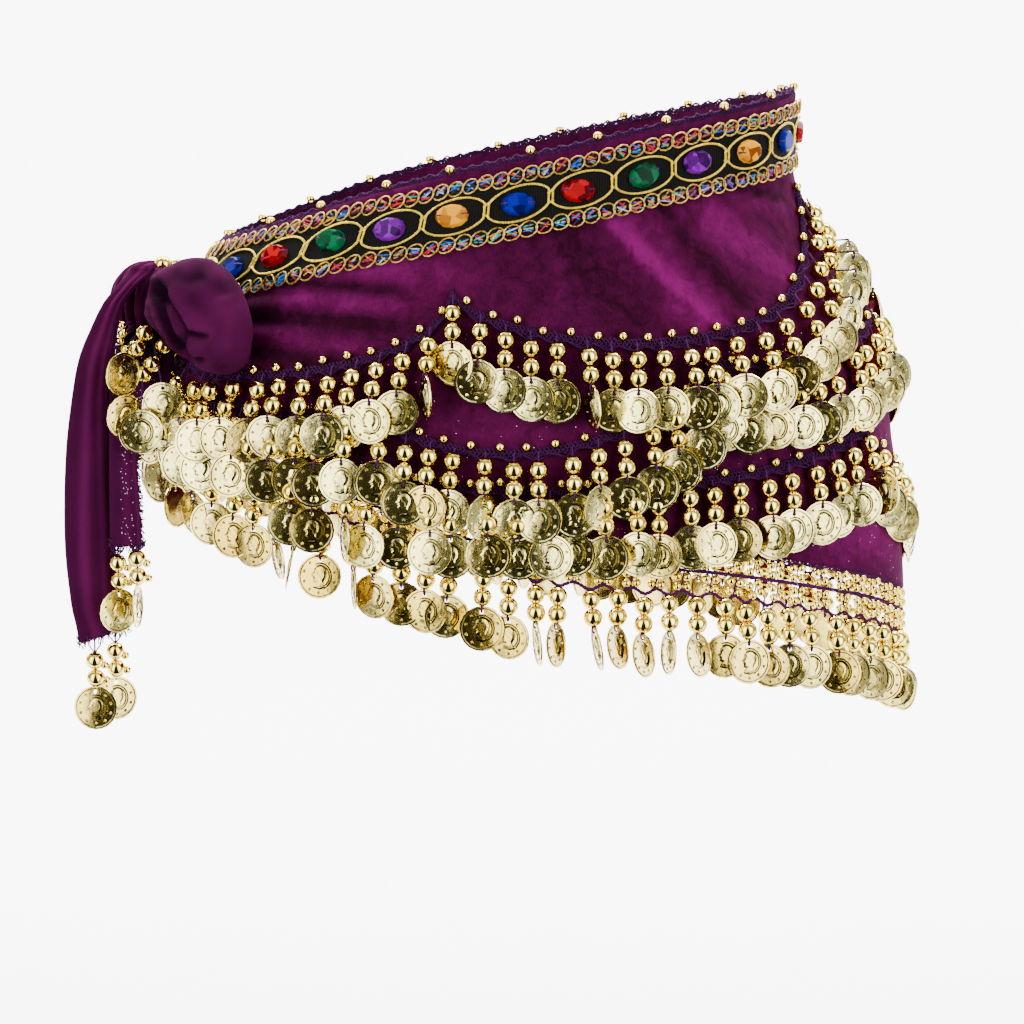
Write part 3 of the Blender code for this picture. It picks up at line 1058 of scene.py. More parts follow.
@dataclass(frozen=True)
class RowLine:
    """A crochet row: scallops between tips, or the net's lower edge where it has none."""

    name: str
    start: float
    end: float
    lead: float
    strings: int
    scallops: tuple[Scallop, ...] = ()
    fullness: float = 0.65

    def height(self, angle: Points) -> Points:
        """Height of the row's line at each angle.

        Args:
            angle: Degrees round the form.

        Returns:
            Millimetres up.
        """
        angle = np.asarray(angle, float)
        if not self.scallops:
            return CUT.net(angle) - 0.35
        line = np.zeros_like(angle)
        for dip in self.scallops:
            t = (angle - dip.start) / (dip.end - dip.start)
            inside = (t >= 0) & (t <= 1)
            share = np.clip(t, 0, 1)
            tips = dip.start_height * (1 - share) + dip.end_height * share
            wave = np.maximum(np.sin(math.pi * share ** dip.skew), 0) ** self.fullness
            line = np.where(inside, tips - dip.sag * wave, line)
        return line


ROWS = (
    RowLine("fringe_row_1", -201, 157, 9, 74, (
        Scallop(-258, -180, -30, -55, 29, 0.65), Scallop(-180, -78, -55, -8, 36, 1),
        Scallop(-78, 12, -8, 13, 45, 1), Scallop(12, 102, 13, -30, 41, 1),
        Scallop(102, 180, -30, -55, 29, 0.65),
    )),
    RowLine("fringe_row_2", -201, 157, 9, 74, (
        Scallop(-249, -198, -84, -75, 5, 1), Scallop(-198, -180, -75, -70, 1, 1),
        Scallop(-180, -146, -70, -80, 3, 1), Scallop(-146, -95, -80, -76, 10, 1),
        Scallop(-95, -43, -76, -58, 14, 1), Scallop(-43, 8, -58, -44, 14, 1),
        Scallop(8, 60, -44, -62, 7, 1), Scallop(60, 111, -62, -84, 26, 1),
        Scallop(111, 162, -84, -75, 5, 1),
    )),
    RowLine("fringe_row_3", -128, 128, 9, 54, (
        Scallop(-155, -65, -96, -96, 16, 1), Scallop(-65, 25, -96, -94, 34, 1),
        Scallop(25, 115, -94, -109, 14, 1), Scallop(115, 150, -109, -89, 1, 1),
    )),
    RowLine("fringe_hem", -201, 157, 5.5, 76),
)


@dataclass(frozen=True)
class Velvet:
    """Where the velvet lies: the form, its large folds and its finer creases."""

    folds: tuple[Fold, ...] = (
        Fold(143, -43, 106, -30, 5, 2.6), Fold(144, -55, 112, -48, 5, 2.2),
        Fold(82, -8, 46, -22, 7, 1.8), Fold(56, -76, 24, -80, 7, 1.6),
        Fold(72, -122, 30, -134, 8, 1.4), Fold(176, -58, 208, -52, 5, 1.8),
        Fold(238, -30, 268, -12, 6, 1.8), Fold(294, -8, 328, -22, 7, 1.8),
        Fold(320, -78, 350, -86, 7, 1.6),
    )
    creases: tuple[Fold, ...] = (
        Fold(142, -49, 104, -40, 3.2, -1.9, 3), Fold(141, -35, 112, -24, 3.4, -1.4, 2),
        Fold(140, -28, 118, -16, 3.0, 1.1, 2), Fold(142, -62, 118, -58, 3.4, -1.7, -2),
        Fold(141, -70, 122, -70, 3.0, 1.2, -3), Fold(128, -33, 101, -22, 2.6, -0.9, 2),
        Fold(122, -58, 104, -44, 3.0, -1.2, -3), Fold(76, 2, 52, -20, 6.0, -1.4, 2),
        Fold(66, 8, 40, -14, 6.0, -1.2, 3), Fold(34, 8, 14, 4, 3.2, -1.6, -2),
        Fold(30, 0, 12, -4, 3.0, 1.2, -2), Fold(86, -2, 70, -26, 6.0, -0.8, 0),
        Fold(178, -50, 206, -45, 3.2, -1.6, 2), Fold(178, -66, 204, -62, 3.2, -1.4, -2),
        Fold(246, -22, 274, -6, 4.0, -1.2, 2), Fold(288, 2, 316, -14, 5.0, -1.2, -2),
        Fold(262, -40, 286, -28, 4.0, 1.0, 2), Fold(214, -66, 238, -52, 3.6, -1.2, 2),
        Fold(312, -34, 338, -30, 5.0, -1.1, 2), Fold(40, -66, 18, -62, 5.0, -1.1, 2),
        Fold(98, -70, 72, -78, 5.0, -0.9, 3), Fold(64, -96, 34, -104, 6.0, -1.0, 2),
        Fold(18, -110, -14, -118, 6.0, 1.1, 3), Fold(354, -60, 336, -54, 5.0, 1.0, 2),
    )
    # bands of painted sheen where the pile leans, and of painted shade along creases where the amount is
    # below 0
    light_bands: tuple[PaintedLightBand, ...] = (
        PaintedLightBand(73, -2, 58, -46, 8, 0.62, 3.2), PaintedLightBand(84, -2, 70, -48, 12, -0.24),
        PaintedLightBand(62, 6, 50, -38, 5.5, -0.34), PaintedLightBand(51, 0, 34, -28, 11, 0.46),
        PaintedLightBand(42, 8, 24, 0, 6, 0.28), PaintedLightBand(42, 11.5, 22, 4, 2.2, -0.5),
        PaintedLightBand(86, -8, 82, -24, 4, 0.16), PaintedLightBand(66, -40, 58, -52, 6, 0.3),
        PaintedLightBand(119, -18, 98, -30, 9, 0.2), PaintedLightBand(136, -24, 112, -26, 5, 0.22),
        PaintedLightBand(134, -37, 112, -40, 5, 0.3), PaintedLightBand(139, -53, 118, -57, 4.5, 0.26),
        PaintedLightBand(142, -45, 112, -48, 4, -0.42), PaintedLightBand(136, -30.5, 112, -33, 2.6, -0.4),
        PaintedLightBand(140, -61, 120, -67, 4, -0.36), PaintedLightBand(36, -60, 12, -62, 14, 0.2),
        PaintedLightBand(22, -86, 4, -100, 16, 0.25), PaintedLightBand(80, -80, 54, -92, 10, 0.12),
        PaintedLightBand(180, -54, 208, -48, 5, 0.3), PaintedLightBand(234, -40, 262, -20, 12, 0.4),
        PaintedLightBand(286, -6, 316, -40, 10, 0.5), PaintedLightBand(330, -10, 346, -40, 9, -0.3),
        PaintedLightBand(300, -70, 330, -80, 12, 0.25), PaintedLightBand(-6, -20, -12, -60, 10, 0.3),
        PaintedLightBand(42, -140, 8, -150, 14, 0.4),
    )
    thickness: float = CLOTH
    sag_wave: float = 0.22
    plain_light: float = 0.30

    def along(self, band: Any, angle: Points, height: Points) -> tuple[Points, Points]:
        """How far along a band each point lies, and how many half widths aside.

        Args:
            band: A fold or a band of painted light.
            angle: Degrees round the form.
            height: Millimetres up.

        Returns:
            The shares along it and the half widths aside.
        """
        start = np.array([band.start_angle * ARC_PER_DEGREE, band.start_height])
        run = np.array([band.end_angle * ARC_PER_DEGREE, band.end_height]) - start
        length = np.linalg.norm(run)
        spot_x = angle * ARC_PER_DEGREE - start[0]
        spot_z = height - start[1]
        share = (spot_x * run[0] + spot_z * run[1]) / length ** 2
        aside = (spot_x * -run[1] + spot_z * run[0]) / length
        bend = getattr(band, "bend", 0.0) * 4 * np.clip(share, 0, 1) * (1 - np.clip(share, 0, 1))
        return share, (aside - bend) / band.half_width

    def lift(self, angle: Points, height: Points) -> Points:
        """How far the inner face stands off the form.

        Args:
            angle: Degrees round the form.
            height: Millimetres up.

        Returns:
            Millimetres.
        """
        angle, height = np.broadcast_arrays(np.asarray(angle, float), np.asarray(height, float))
        lift = self.sag_wave * (np.sin(angle * 0.21 + height * 0.045) + np.sin(angle * 0.13 - height * 0.08))
        lift = lift + 2 * self.sag_wave
        for fold in self.folds + self.creases:
            for turn in (-360, 0, 360):
                share, aside = self.along(fold, angle + turn, height)
                fade = np.where(share > 0, np.clip(1 - share, 0, 1), np.clip(1 + 5 * share, 0, 1))
                lift = lift + fold.lift * np.exp(-aside ** 2) * fade
        return np.maximum(lift, -0.2)

    def nap(self, angle: Points, height: Points) -> Points:
        """Painted light: painted sheen where the pile leans and painted shade along creases, from 0 to 1.

        Args:
            angle: Degrees round the form.
            height: Millimetres up.

        Returns:
            The lean.
        """
        nap = np.full(np.broadcast(angle, height).shape, self.plain_light)
        nap = nap + 0.1 * np.sin(angle * 0.11 + 1.0) * np.cos(height * 0.03)
        for band in self.light_bands:
            for turn in (-360, 0, 360):
                share, aside = self.along(band, angle + turn, height)
                fade = ease(share * 6 + 0.6) * ease((1.25 - share) * 3)
                aside = np.where(aside * band.below() > 0, aside * band.sharp_below, aside)
                nap = nap + band.amount * np.exp(-aside ** 2) * fade
        return np.clip(nap, 0, 1)

    def on(self, angle: Points, height: Points, out: Points) -> Points:
        """Points off the velvet's outer face, in millimetres."""
        angle, height, out = np.broadcast_arrays(*(np.asarray(v, float) for v in (angle, height, out)))
        return FORM.place(angle, height, self.lift(angle, height) + self.thickness + out)


VELVET = Velvet()


# ---------------------------------------------------------------- sub-assemblies


@dataclass(frozen=True)
class Bead:
    """One round bead with a dimple at each end of its bore."""

    radius: float = 4.0
    segments: int = 12
    rings: int = 8
    dimple: float = 0.12

    def template(self) -> Mesh:
        """Its mesh, bore along Y, in millimetres.

        Returns:
            The mesh.
        """
        ball = bmesh.new()
        bmesh.ops.create_uvsphere(ball, u_segments=self.segments, v_segments=self.rings, radius=self.radius)
        for vertex in ball.verts:
            if abs(vertex.co.z) > 0.99 * self.radius:
                vertex.co.z *= 1 - self.dimple
            vertex.co = Vector((vertex.co.x, -vertex.co.z, vertex.co.y))
        return close_bmesh(ball)


@dataclass(frozen=True)
class Coin:
    """A stamped coin: a raised rim, stars, and a plain classical head in profile."""

    radius: float = 10.0
    thickness: float = 0.9
    rim: float = 0.8
    rim_height: float = 0.32
    hole_at: float = 7.3
    hole_radius: float = 1.0
    segments: int = 20
    stars: int = 9
    head: tuple[Pair, ...] = (
        (0.1, 4.9), (-1.8, 4.1), (-2.7, 2.7), (-2.8, 1.8), (-4.1, 0.3), (-2.9, 0.0), (-3.2, -0.7),
        (-2.6, -1.1), (-3.0, -2.3), (-2.0, -2.8), (-0.9, -2.9), (-0.8, -3.8), (-2.9, -5.2),
        (0.2, -6.0), (3.1, -5.2), (2.0, -3.6), (2.2, -2.2), (3.2, -0.6), (3.6, 1.4), (3.0, 3.3), (1.7, 4.6),
    )
    locks: tuple[tuple[Pair, ...], ...] = (
        ((-2.4, 3.5), (-1.0, 2.5), (-0.6, 0.9), (0.6, 0.1), (0.7, -1.4), (2.0, -2.2)),
        ((-1.3, 4.3), (0.7, 3.3), (1.5, 1.6), (2.5, 0.6), (3.0, -0.4)),
        ((-2.3, -5.0), (-0.2, -4.6), (2.4, -4.9)),
    )
    head_steps: tuple[Pair, ...] = ((0.36, 0.86), (0.2, 0.72))
    lock_top: float = 0.78
    arcs: tuple[float, ...] = (5.9, 4.9)
    arc_span: Pair = (-66.0, 112.0)
    star_ring: float = 7.3
    star_span: Pair = (38.0, 284.0)

    def template(self) -> Mesh:
        """Its mesh: face to +Z, the hole up +Y, UV on its face, in millimetres.

        Returns:
            The mesh.
        """
        coin = bmesh.new()
        front, inner = self.thickness / 2, self.radius - self.rim
        field_height = front - self.rim_height
        half = [(inner - 0.5, field_height), (inner, front), (self.radius - 0.15, front),
                (self.radius, front - 0.2)]
        profile = half + [(x, -z) for x, z in reversed(half)]
        line = [coin.verts.new((x, 0, z)) for x, z in profile]
        edges = [coin.edges.new(pair) for pair in zip(line, line[1:])]
        bmesh.ops.spin(coin, geom=line + edges, cent=(0, 0, 0), axis=(0, 0, 1), angle=TURN,
                       steps=self.segments, use_merge=True)
        for side in (1, -1):
            self.fill_field(coin, side * field_height, side)
        bmesh.ops.bridge_loops(coin, edges=[edge for edge in coin.edges if edge.is_boundary])
        bmesh.ops.recalc_face_normals(coin, faces=coin.faces)
        self.emboss(coin, field_height)
        self.shade_relief_slopes(coin, field_height)
        mesh = settled(coin)
        flat = values_of(mesh.vertices, "co", float, 3).reshape(-1, 3)[:, :2] * MM
        corners = values_of(mesh.loops, "vertex_index")
        mesh.uv_layers.new(name="UVMap").uv.foreach_set("vector", flat[corners].ravel())
        return mesh

    def shade_relief_slopes(self, coin: bmesh.types.BMesh, field_height: float) -> None:
        """Give the front relief's slopes the second, darker finish: painted shade that outlines the relief.

        Args:
            coin: The bmesh.
            field_height: The field's height.
        """
        coin.normal_update()
        for face in coin.faces:
            middle = face.calc_center_median()
            reach = middle.xy.length
            raised = middle.z > field_height - 0.1 and (reach < 6.4 or 8.4 < reach < self.radius - self.rim)
            face.material_index = int(raised and abs(face.normal.z) < 0.93)

    def fill_field(self, coin: bmesh.types.BMesh, level: float, side: int) -> None:
        """Fill one side inside the rim, but for the hole.

        Args:
            coin: The bmesh.
            level: The field's height.
            side: 1 for the front, -1 for the back.
        """
        around = [e for e in coin.edges if e.is_boundary and abs(e.verts[0].co.z - level) < 1e-4]
        made = bmesh.ops.create_circle(coin, segments=6, radius=self.hole_radius)["verts"]
        bmesh.ops.translate(coin, verts=made, vec=(0, self.hole_at, level))
        hole = list({edge for vertex in made for edge in vertex.link_edges})
        bmesh.ops.triangle_fill(coin, use_beauty=True, edges=around + hole, normal=(0, 0, side))

    def emboss(self, coin: bmesh.types.BMesh, field_height: float) -> None:
        """Raise the head, its bands of hair and the stars on the front field.

        Args:
            coin: The bmesh.
            field_height: The field's height.
        """
        ground = field_height - 0.02
        outline = [coin.verts.new((x, y, ground)) for x, y in self.head]
        base = coin.faces.new(outline)
        base.normal_update()
        if base.normal.z < 0:
            base.normal_flip()
        region = [base]
        for rise, share in self.head_steps:
            made = bmesh.ops.extrude_face_region(coin, geom=region)["geom"]
            bmesh.ops.delete(coin, geom=region, context="FACES_ONLY")
            region = [g for g in made if isinstance(g, bmesh.types.BMFace)]
            lifted = [v for v in made if isinstance(v, bmesh.types.BMVert)]
            bmesh.ops.translate(coin, verts=lifted, vec=(0, 0, rise))
            bmesh.ops.scale(coin, verts=lifted, vec=(share, share, 1))
        for radius in self.arcs:
            turns = np.radians(np.linspace(*self.arc_span, 9))
            arc = [(radius * 0.94 * math.cos(turn), radius * math.sin(turn)) for turn in turns]
            self.ridge(coin, arc, 0.42, ground, ground + 0.55)
        for lock in self.locks:
            self.ridge(coin, lock, 0.36, ground, ground + self.lock_top)
        first, span = self.star_span
        for k in range(self.stars):
            turn = math.radians(first + k * span / (self.stars - 1))
            made = bmesh.ops.create_cone(coin, cap_ends=False, segments=5, radius1=0.9, radius2=0, depth=0.6)
            spot = (self.star_ring * math.sin(turn), self.star_ring * math.cos(turn), ground + 0.3)
            bmesh.ops.translate(coin, verts=made["verts"], vec=spot)

    def ridge(
        self, coin: bmesh.types.BMesh, line: Sequence[Pair], half_width: float,
        ground: float, top: float,
    ) -> None:
        """Raise a band of triangular section along a line, low at its ends.

        Args:
            coin: The bmesh.
            line: Its middle line.
            half_width: Half its width at the ground.
            ground: Height of its feet.
            top: Height of its top.
        """
        middle = np.array(line)
        ahead = unit(np.gradient(middle, axis=0))
        aside = np.stack([-ahead[:, 1], ahead[:, 0]], axis=-1) * half_width
        rings = []
        for k, (spot, reach) in enumerate(zip(middle, aside)):
            crest = top if 0 < k < len(middle) - 1 else ground + 0.1
            feet = ((spot - reach, ground), (spot, crest), (spot + reach, ground))
            rings.append([coin.verts.new((*place, height)) for place, height in feet])
        for ring, following in zip(rings, rings[1:]):
            for k in range(2):
                face = coin.faces.new((ring[k], ring[k + 1], following[k + 1], following[k]))
                face.normal_update()
                if face.normal.z < 0:
                    face.normal_flip()


def add_beads(
    name: str, centres: Points, sides: Points, bead: Bead, finish: Material,
    rng: Rng, slot: Slot = Slot.GOLD_BEADS, replaces: Sequence[str] = (),
    scale: Any = 1.0,
) -> None:
    """Make beads a piece, some paler than others.

    Args:
        name: The piece's name.
        centres: Their middles.
        sides: Their X directions; each bore runs roughly up.
        bead: What each is.
        finish: Their material.
        rng: Draws their tones.
        slot: The record's slot for them.
        replaces: CAD nodes that they stand for.
        scale: One size, or one for each.
    """
    frames = frames_at(centres, sides, UP, scale)
    mesh = scatter(bead.template(), frames, rng.uniform(0, 1, len(centres)))
    add_piece(name, mesh, [finish], slot, replaces)


def add_trims(
    name: str, finishes: Finishes, rng: Rng, beads: Sequence[Sequence[Points]],
    radii: Pair, replaces: Sequence[str] = (),
) -> None:
    """Make large and small loose beads two pieces.

    Args:
        name: Start of both names.
        finishes: The scarf's finishes.
        rng: Draws their sides and tones.
        beads: Middles of the large ones, and of the small ones.
        radii: Their radii.
        replaces: CAD nodes that the large ones stand for.
    """
    for label, radius, spots, nodes in zip(("beads", "small_beads"), radii, beads, (replaces, ())):
        sides = rng.normal(0, 1, (len(spots), 3)) * (1, 1, 0.1)
        add_beads(f"{name}_{label}", np.array(spots), sides, Bead(radius), finishes.bead, rng,
                  replaces=nodes)


def hung_frames(holes: Points, turns: Sequence[float]) -> Points:
    """Frames of coins that hang from their holes, each turned from +X by some degrees."""
    turn = np.radians(turns)
    return frames_at(holes, np.stack([np.cos(turn), np.sin(turn), np.zeros(len(turn))], -1), UP)


def add_coins(name: str, frames: Points, tone: Points, finishes: Finishes) -> None:
    """Make coins a piece; their frames stand at their holes.

    Args:
        name: The piece's name.
        frames: Frames at the coins' holes.
        tone: Each coin's share of brass.
        finishes: The scarf's finishes.
    """
    coin = Coin()
    frames = frames.copy()
    frames[:, :3, 3] -= frames[:, :3, 1] * coin.hole_at
    add_piece(name, scatter(coin.template(), frames, tone), finishes.coins, Slot.COINS)


@dataclass
class HipPanel:
    """The velvet panel, one curved sheet round the hips."""

    finishes: Finishes
    columns: int = 360
    rows: int = 70
    below_edge: float = 1.2
    speck_fade: float = 14
    flat: Pair = (0.96, 0.24)
    area: float = 0.150

    def build(self) -> None:
        angles = np.linspace(CUT.seam - 359.75, CUT.seam - 0.25, self.columns)
        shares = np.linspace(0, 1, self.rows)
        top = CUT.edge(angles) - self.below_edge
        hem = CUT.hem(angles)
        height = top[:, None] + (hem - top)[:, None] * shares
        angle = np.broadcast_to(angles[:, None], height.shape)
        points = FORM.place(angle, height, VELVET.lift(angle, height))
        arcs = np.broadcast_to((angles * ARC_PER_DEGREE)[:, None], height.shape)
        mesh = cloth_grid(points, np.stack([arcs, height], axis=-1), FORM.away(angles[:1], hem[:1])[0])
        # painted sheen and painted shade for the velvet's colour
        store(mesh, "nap", VELVET.nap(angle, height).T)
        row_one = ROWS[0].height(angle)
        store(mesh, "specks", ease((row_one - height) / self.speck_fade).T)
        panel = add_piece("hip_panel_velvet", mesh, [self.finishes.velvet], Slot.VELVET, ["hip_panel"])
        thicken(panel, VELVET.thickness, 1)


@dataclass
class CrochetBand:
    """A crochet cord worked along a line on the cloth."""

    pitch: float = 5.6
    half_height: float = 1.8
    half_depth: float = 0.6
    radius: float = 0.52
    points_per_pitch: int = 6

    def cord(
        self,
        start: float,
        end: float,
        height: Callable[[Points], Points],
        place: Callable[[Points, Points, float], Points],
        out: float,
        seed: int,
    ) -> list[Points]:
        """Three plies braided along a line.

        Args:
            start: First angle.
            end: Last angle.
            height: Gives the line's height at angles.
            place: Gives points from angles, heights and an outward distance.
            out: How far out the cord's middle lies.
            seed: Seed of its unevenness.

        Returns:
            The plies' points.
        """
        fine, lengths = measured(start, end, lambda angles: place(angles, height(angles), out))
        count = int(lengths[-1] / self.pitch * self.points_per_pitch)
        angles = np.interp(np.linspace(0, lengths[-1], count), lengths, fine)
        rng = np.random.default_rng(seed)
        turn = np.linspace(0, TURN * lengths[-1] / self.pitch, count)
        turn = turn + np.cumsum(rng.normal(0, 0.12, count))
        strands = []
        for ply in range(3):
            phase = turn + TURN * ply / 3
            swing = self.half_height * np.sin(phase) * (1 + rng.normal(0, 0.12, count))
            depth = self.half_depth * np.sin(2 * phase) + rng.normal(0, 0.08, count)
            strands.append(place(angles, height(angles) + swing, out + depth))
        return strands


@dataclass
class WaistEdging:
    """Crochet along the upper edge with a small bead on every few picots."""

    finishes: Finishes
    picot_step: float = 1.1
    bead_pitch: float = 31.0
    bead_radius: float = 2.1
    bead_rise: float = 2.3
    out: float = 0.9
    seed: int = 11

    def build(self) -> None:
        """Build the edging and its beads."""
        start, end = CUT.seam - 359.5, CUT.seam - 0.5
        band = CrochetBand(pitch=4.6, half_height=1.1, half_depth=0.5, radius=0.52)

        def height(angles: Points) -> Points:
            """Middle of the band."""
            return CUT.edge(angles) - 0.2

        strands = band.cord(start, end, height, FORM.place, self.out, self.seed)
        strands += self.picots(start, end)
        add_piece("waist_edging_crochet", yarn(strands, band.radius), [self.finishes.crochet],
                  Slot.CROCHET, ["waist_edging"])
        self.beads(start, end)

    def stitched(self, angles: Points) -> Points:
        """Points of the stitches along the edge."""
        return FORM.place(angles, CUT.edge(angles), 0.8)

    def picots(self, start: float, end: float) -> list[Points]:
        """A loose zigzag of fine loops along the top, uneven as hand crochet is.

        Args:
            start: First angle.
            end: Last angle.

        Returns:
            One path.
        """
        fine, lengths = measured(start, end, self.stitched)
        count = int(lengths[-1] / self.picot_step)
        angles = np.interp(np.linspace(0, lengths[-1], count), lengths, fine)
        rng = np.random.default_rng(self.seed + 1)
        rise = 0.9 + 0.8 * np.sin(np.arange(count) * 1.05) + rng.normal(0, 0.3, count)
        sway = 0.8 + 0.45 * np.cos(np.arange(count) * 1.9) + rng.normal(0, 0.12, count)
        return [FORM.place(angles, CUT.edge(angles) + rise, sway)]

    def beads(self, start: float, end: float) -> None:
        """Small beads on the picots.

        Args:
            start: First angle.
            end: Last angle.
        """
        fine, lengths = measured(start, end, self.stitched)
        count = int(lengths[-1] / self.bead_pitch)
        rng = np.random.default_rng(self.seed + 2)
        at = (np.arange(count) + 0.5) / count * lengths[-1] + rng.normal(0, 1.2, count)
        angles = np.interp(at, lengths, fine)
        rise = self.bead_rise + rng.normal(0, 0.3, count)
        centres = FORM.place(angles, CUT.edge(angles) + rise, self.out)
        around = FORM.around(angles, CUT.edge(angles))
        bead = Bead(self.bead_radius, 10, 7)
        add_beads("waist_edging_beads", centres, around, bead, self.finishes.small_bead, rng)


@dataclass
class JewelRibbon:
    """Black ribbon with gold rope ovals, gems and two borders of threaded links."""

    finishes: Finishes
    end: float = 146.0
    cells: int = 24
    pitch: float = 28.4
    below_edge: float = 4.0
    height: float = 31.0
    stand_off: float = 0.8
    thickness: float = 0.9
    half_width: float = 12.7
    under_knot: float = 25.0
    past_seam: float = 53.0
    oval_half: Pair = (14.4, 7.7)
    oval_end: float = 13.3
    oval_points: int = 132
    gem_half: Pair = (7.6, 5.4)
    gem_height: float = 3.9
    gem_cuts: Pair = (-0.12, 0.62)
    stitch: tuple[Triple, ...] = (
        (0.58, 0, 0.70), (0.72, 0.03, 0.73), (0.86, 0.05, 0.56), (0.98, 0.06, 0.25),
    )
    gem_stitch_radius: float = 0.42
    rope_pitch: float = 2.2
    rope_reach: float = 0.3
    oval_ply: float = 0.38
    link_ply: float = 0.32
    cord_radius: float = 0.42
    floss_radius: float = 0.33
    link_half: float = 1.4
    link_apart: Pair = (2.4, 0.9)
    floss_count: int = 7
    floss_odds: tuple[float, ...] = (0.24, 0.19, 0.2, 0.11, 0.2, 0.06)
    link_pitch: float = 6.9
    link_radius: float = 3.3
    border_inset: float = 3.4
    flat: Pair = (0.0255, 0.80)
    seed: int = 23

    def __post_init__(self) -> None:
        """Measure the ribbon's middle line back from its end at the knot."""
        self.run_angles = np.arange(self.end + 60, self.end - 400, -0.25)
        middle = self.middle(self.run_angles)
        run = run_lengths(FORM.place(self.run_angles, middle, CLOTH))
        self.run = run - np.interp(-self.end, -self.run_angles, run)
        self.length = self.cells * self.pitch

    def middle(self, angles: Points) -> Points:
        """Height of the ribbon's middle line, close under the edge where it nears the knot.

        Args:
            angles: Degrees round the form.

        Returns:
            Millimetres up.
        """
        from_side = np.abs((np.asarray(angles, float) + 180) % 360 - 180)
        gap = self.below_edge * (1 - 0.7 * ease((from_side - 105) / 45))
        return CUT.edge(angles) - gap - self.height / 2

    def at(self, along: Points, across: Points, out: Points) -> Points:
        """Points on the ribbon.

        Args:
            along: Millimetres from its end at the knot.
            across: Millimetres up from its middle line.
            out: Millimetres off its back.

        Returns:
            The points, in millimetres.
        """
        along, across, out = np.broadcast_arrays(*(np.asarray(v, float) for v in (along, across, out)))
        angle = np.interp(along, self.run, self.run_angles)
        return VELVET.on(angle, self.middle(angle) + across, self.stand_off + out)

    def build(self) -> None:
        """Build the ribbon and all that is sewn on it."""
        ribbon = self.ribbon()
        trims = [*self.ovals(), *self.gems(), *self.borders()]

    def ribbon(self) -> Piece:
        """The black ribbon itself.

        Returns:
            The ribbon.
        """
        along = np.linspace(-self.under_knot - self.past_seam, self.length + self.under_knot, 350)
        across = np.linspace(-self.half_width, self.half_width, 15)
        points = self.at(along[:, None], across[None, :], 0.0)
        flat = np.stack(np.broadcast_arrays(along[:, None], across[None, :]), axis=-1)
        outward = points[0, 0] * (1, 1, 0)
        mesh = cloth_grid(points, flat, outward)
        ribbon = add_piece("jewel_ribbon", mesh, [self.finishes.ribbon], Slot.RIBBON, ["jewel_trim"])
        thicken(ribbon, self.thickness, 1)
        return ribbon

    def rope(self, along: Points, across: Points, closed: bool) -> list[Points]:
        """Two plies of rope laid on the ribbon along a line of places.

        Args:
            along: Millimetres from the ribbon's end at the knot.
            across: Millimetres up from its middle line.
            closed: Whether the line is a ring.

        Returns:
            The plies' points.
        """
        top = self.thickness
        line = self.at(along, across, top + 0.8)
        over = unit(self.at(along, across, top + 5.0) - line)
        step = np.roll(line, -1, axis=0) - np.roll(line, 1, axis=0)
        if not closed:
            step[0], step[-1] = line[1] - line[0], line[-1] - line[-2]
        side = unit(np.cross(over, step))
        length = float(run_lengths(line)[-1])
        turns = max(round(length / self.rope_pitch), 1)
        if closed:
            length += float(np.linalg.norm(line[0] - line[-1]))
        return plies(line, side, over, length / turns, self.rope_reach)

    def ovals(self) -> list[Piece]:
        """Rope ovals, and the short double links between them.

        Returns:
            The ovals and the links.
        """
        rings, links = [], []
        rng = np.random.default_rng(self.seed)
        turn = np.linspace(0, TURN, self.oval_points, endpoint=False)
        half_length, half_height = self.oval_half
        for cell in range(-2, self.cells + 1):
            centre = (cell + 0.5) * self.pitch
            grow = 1 + rng.normal(0, 0.02)
            x = np.clip(half_length * np.cos(turn), -self.oval_end, self.oval_end)
            y = half_height * np.sin(turn) * grow
            y = y + rng.normal(0, 0.25) * np.cos(turn)
            rings += self.rope(centre + x, y, True)
            if cell >= -1:
                t = np.linspace(-1, 1, 10)
                apart, spread = self.link_apart
                for side in (-1, 1):
                    across = side * (apart + spread * t)
                    links += self.rope(cell * self.pitch + t * self.link_half, across, False)
        mesh = yarn(rings, self.oval_ply, closed=True)
        rope = add_piece("jewel_rope_ovals", mesh, [self.finishes.rope], Slot.RIBBON)
        mesh = yarn(links, self.link_ply)
        bars = add_piece("jewel_rope_links", mesh, [self.finishes.rope], Slot.RIBBON)
        return [rope, bars]

    def gem_template(self) -> Mesh:
        """A faceted oval with a flat back, of radius 1.

        Returns:
            The mesh, long way along X.
        """
        stone = bmesh.new()
        bmesh.ops.create_uvsphere(stone, u_segments=12, v_segments=6, radius=1)
        back, table = self.gem_cuts
        for level, way in ((table, 1), (back, -1)):
            bmesh.ops.bisect_plane(stone, geom=stone.verts[:] + stone.edges[:] + stone.faces[:],
                                   plane_co=(0, 0, level), plane_no=(0, 0, way), clear_outer=True)
        open_edges = [edge for edge in stone.edges if edge.is_boundary]
        bmesh.ops.holes_fill(stone, edges=open_edges, sides=0)
        bmesh.ops.translate(stone, verts=stone.verts, vec=(0, 0, -back))
        return close_bmesh(stone, smooth_faces=False)

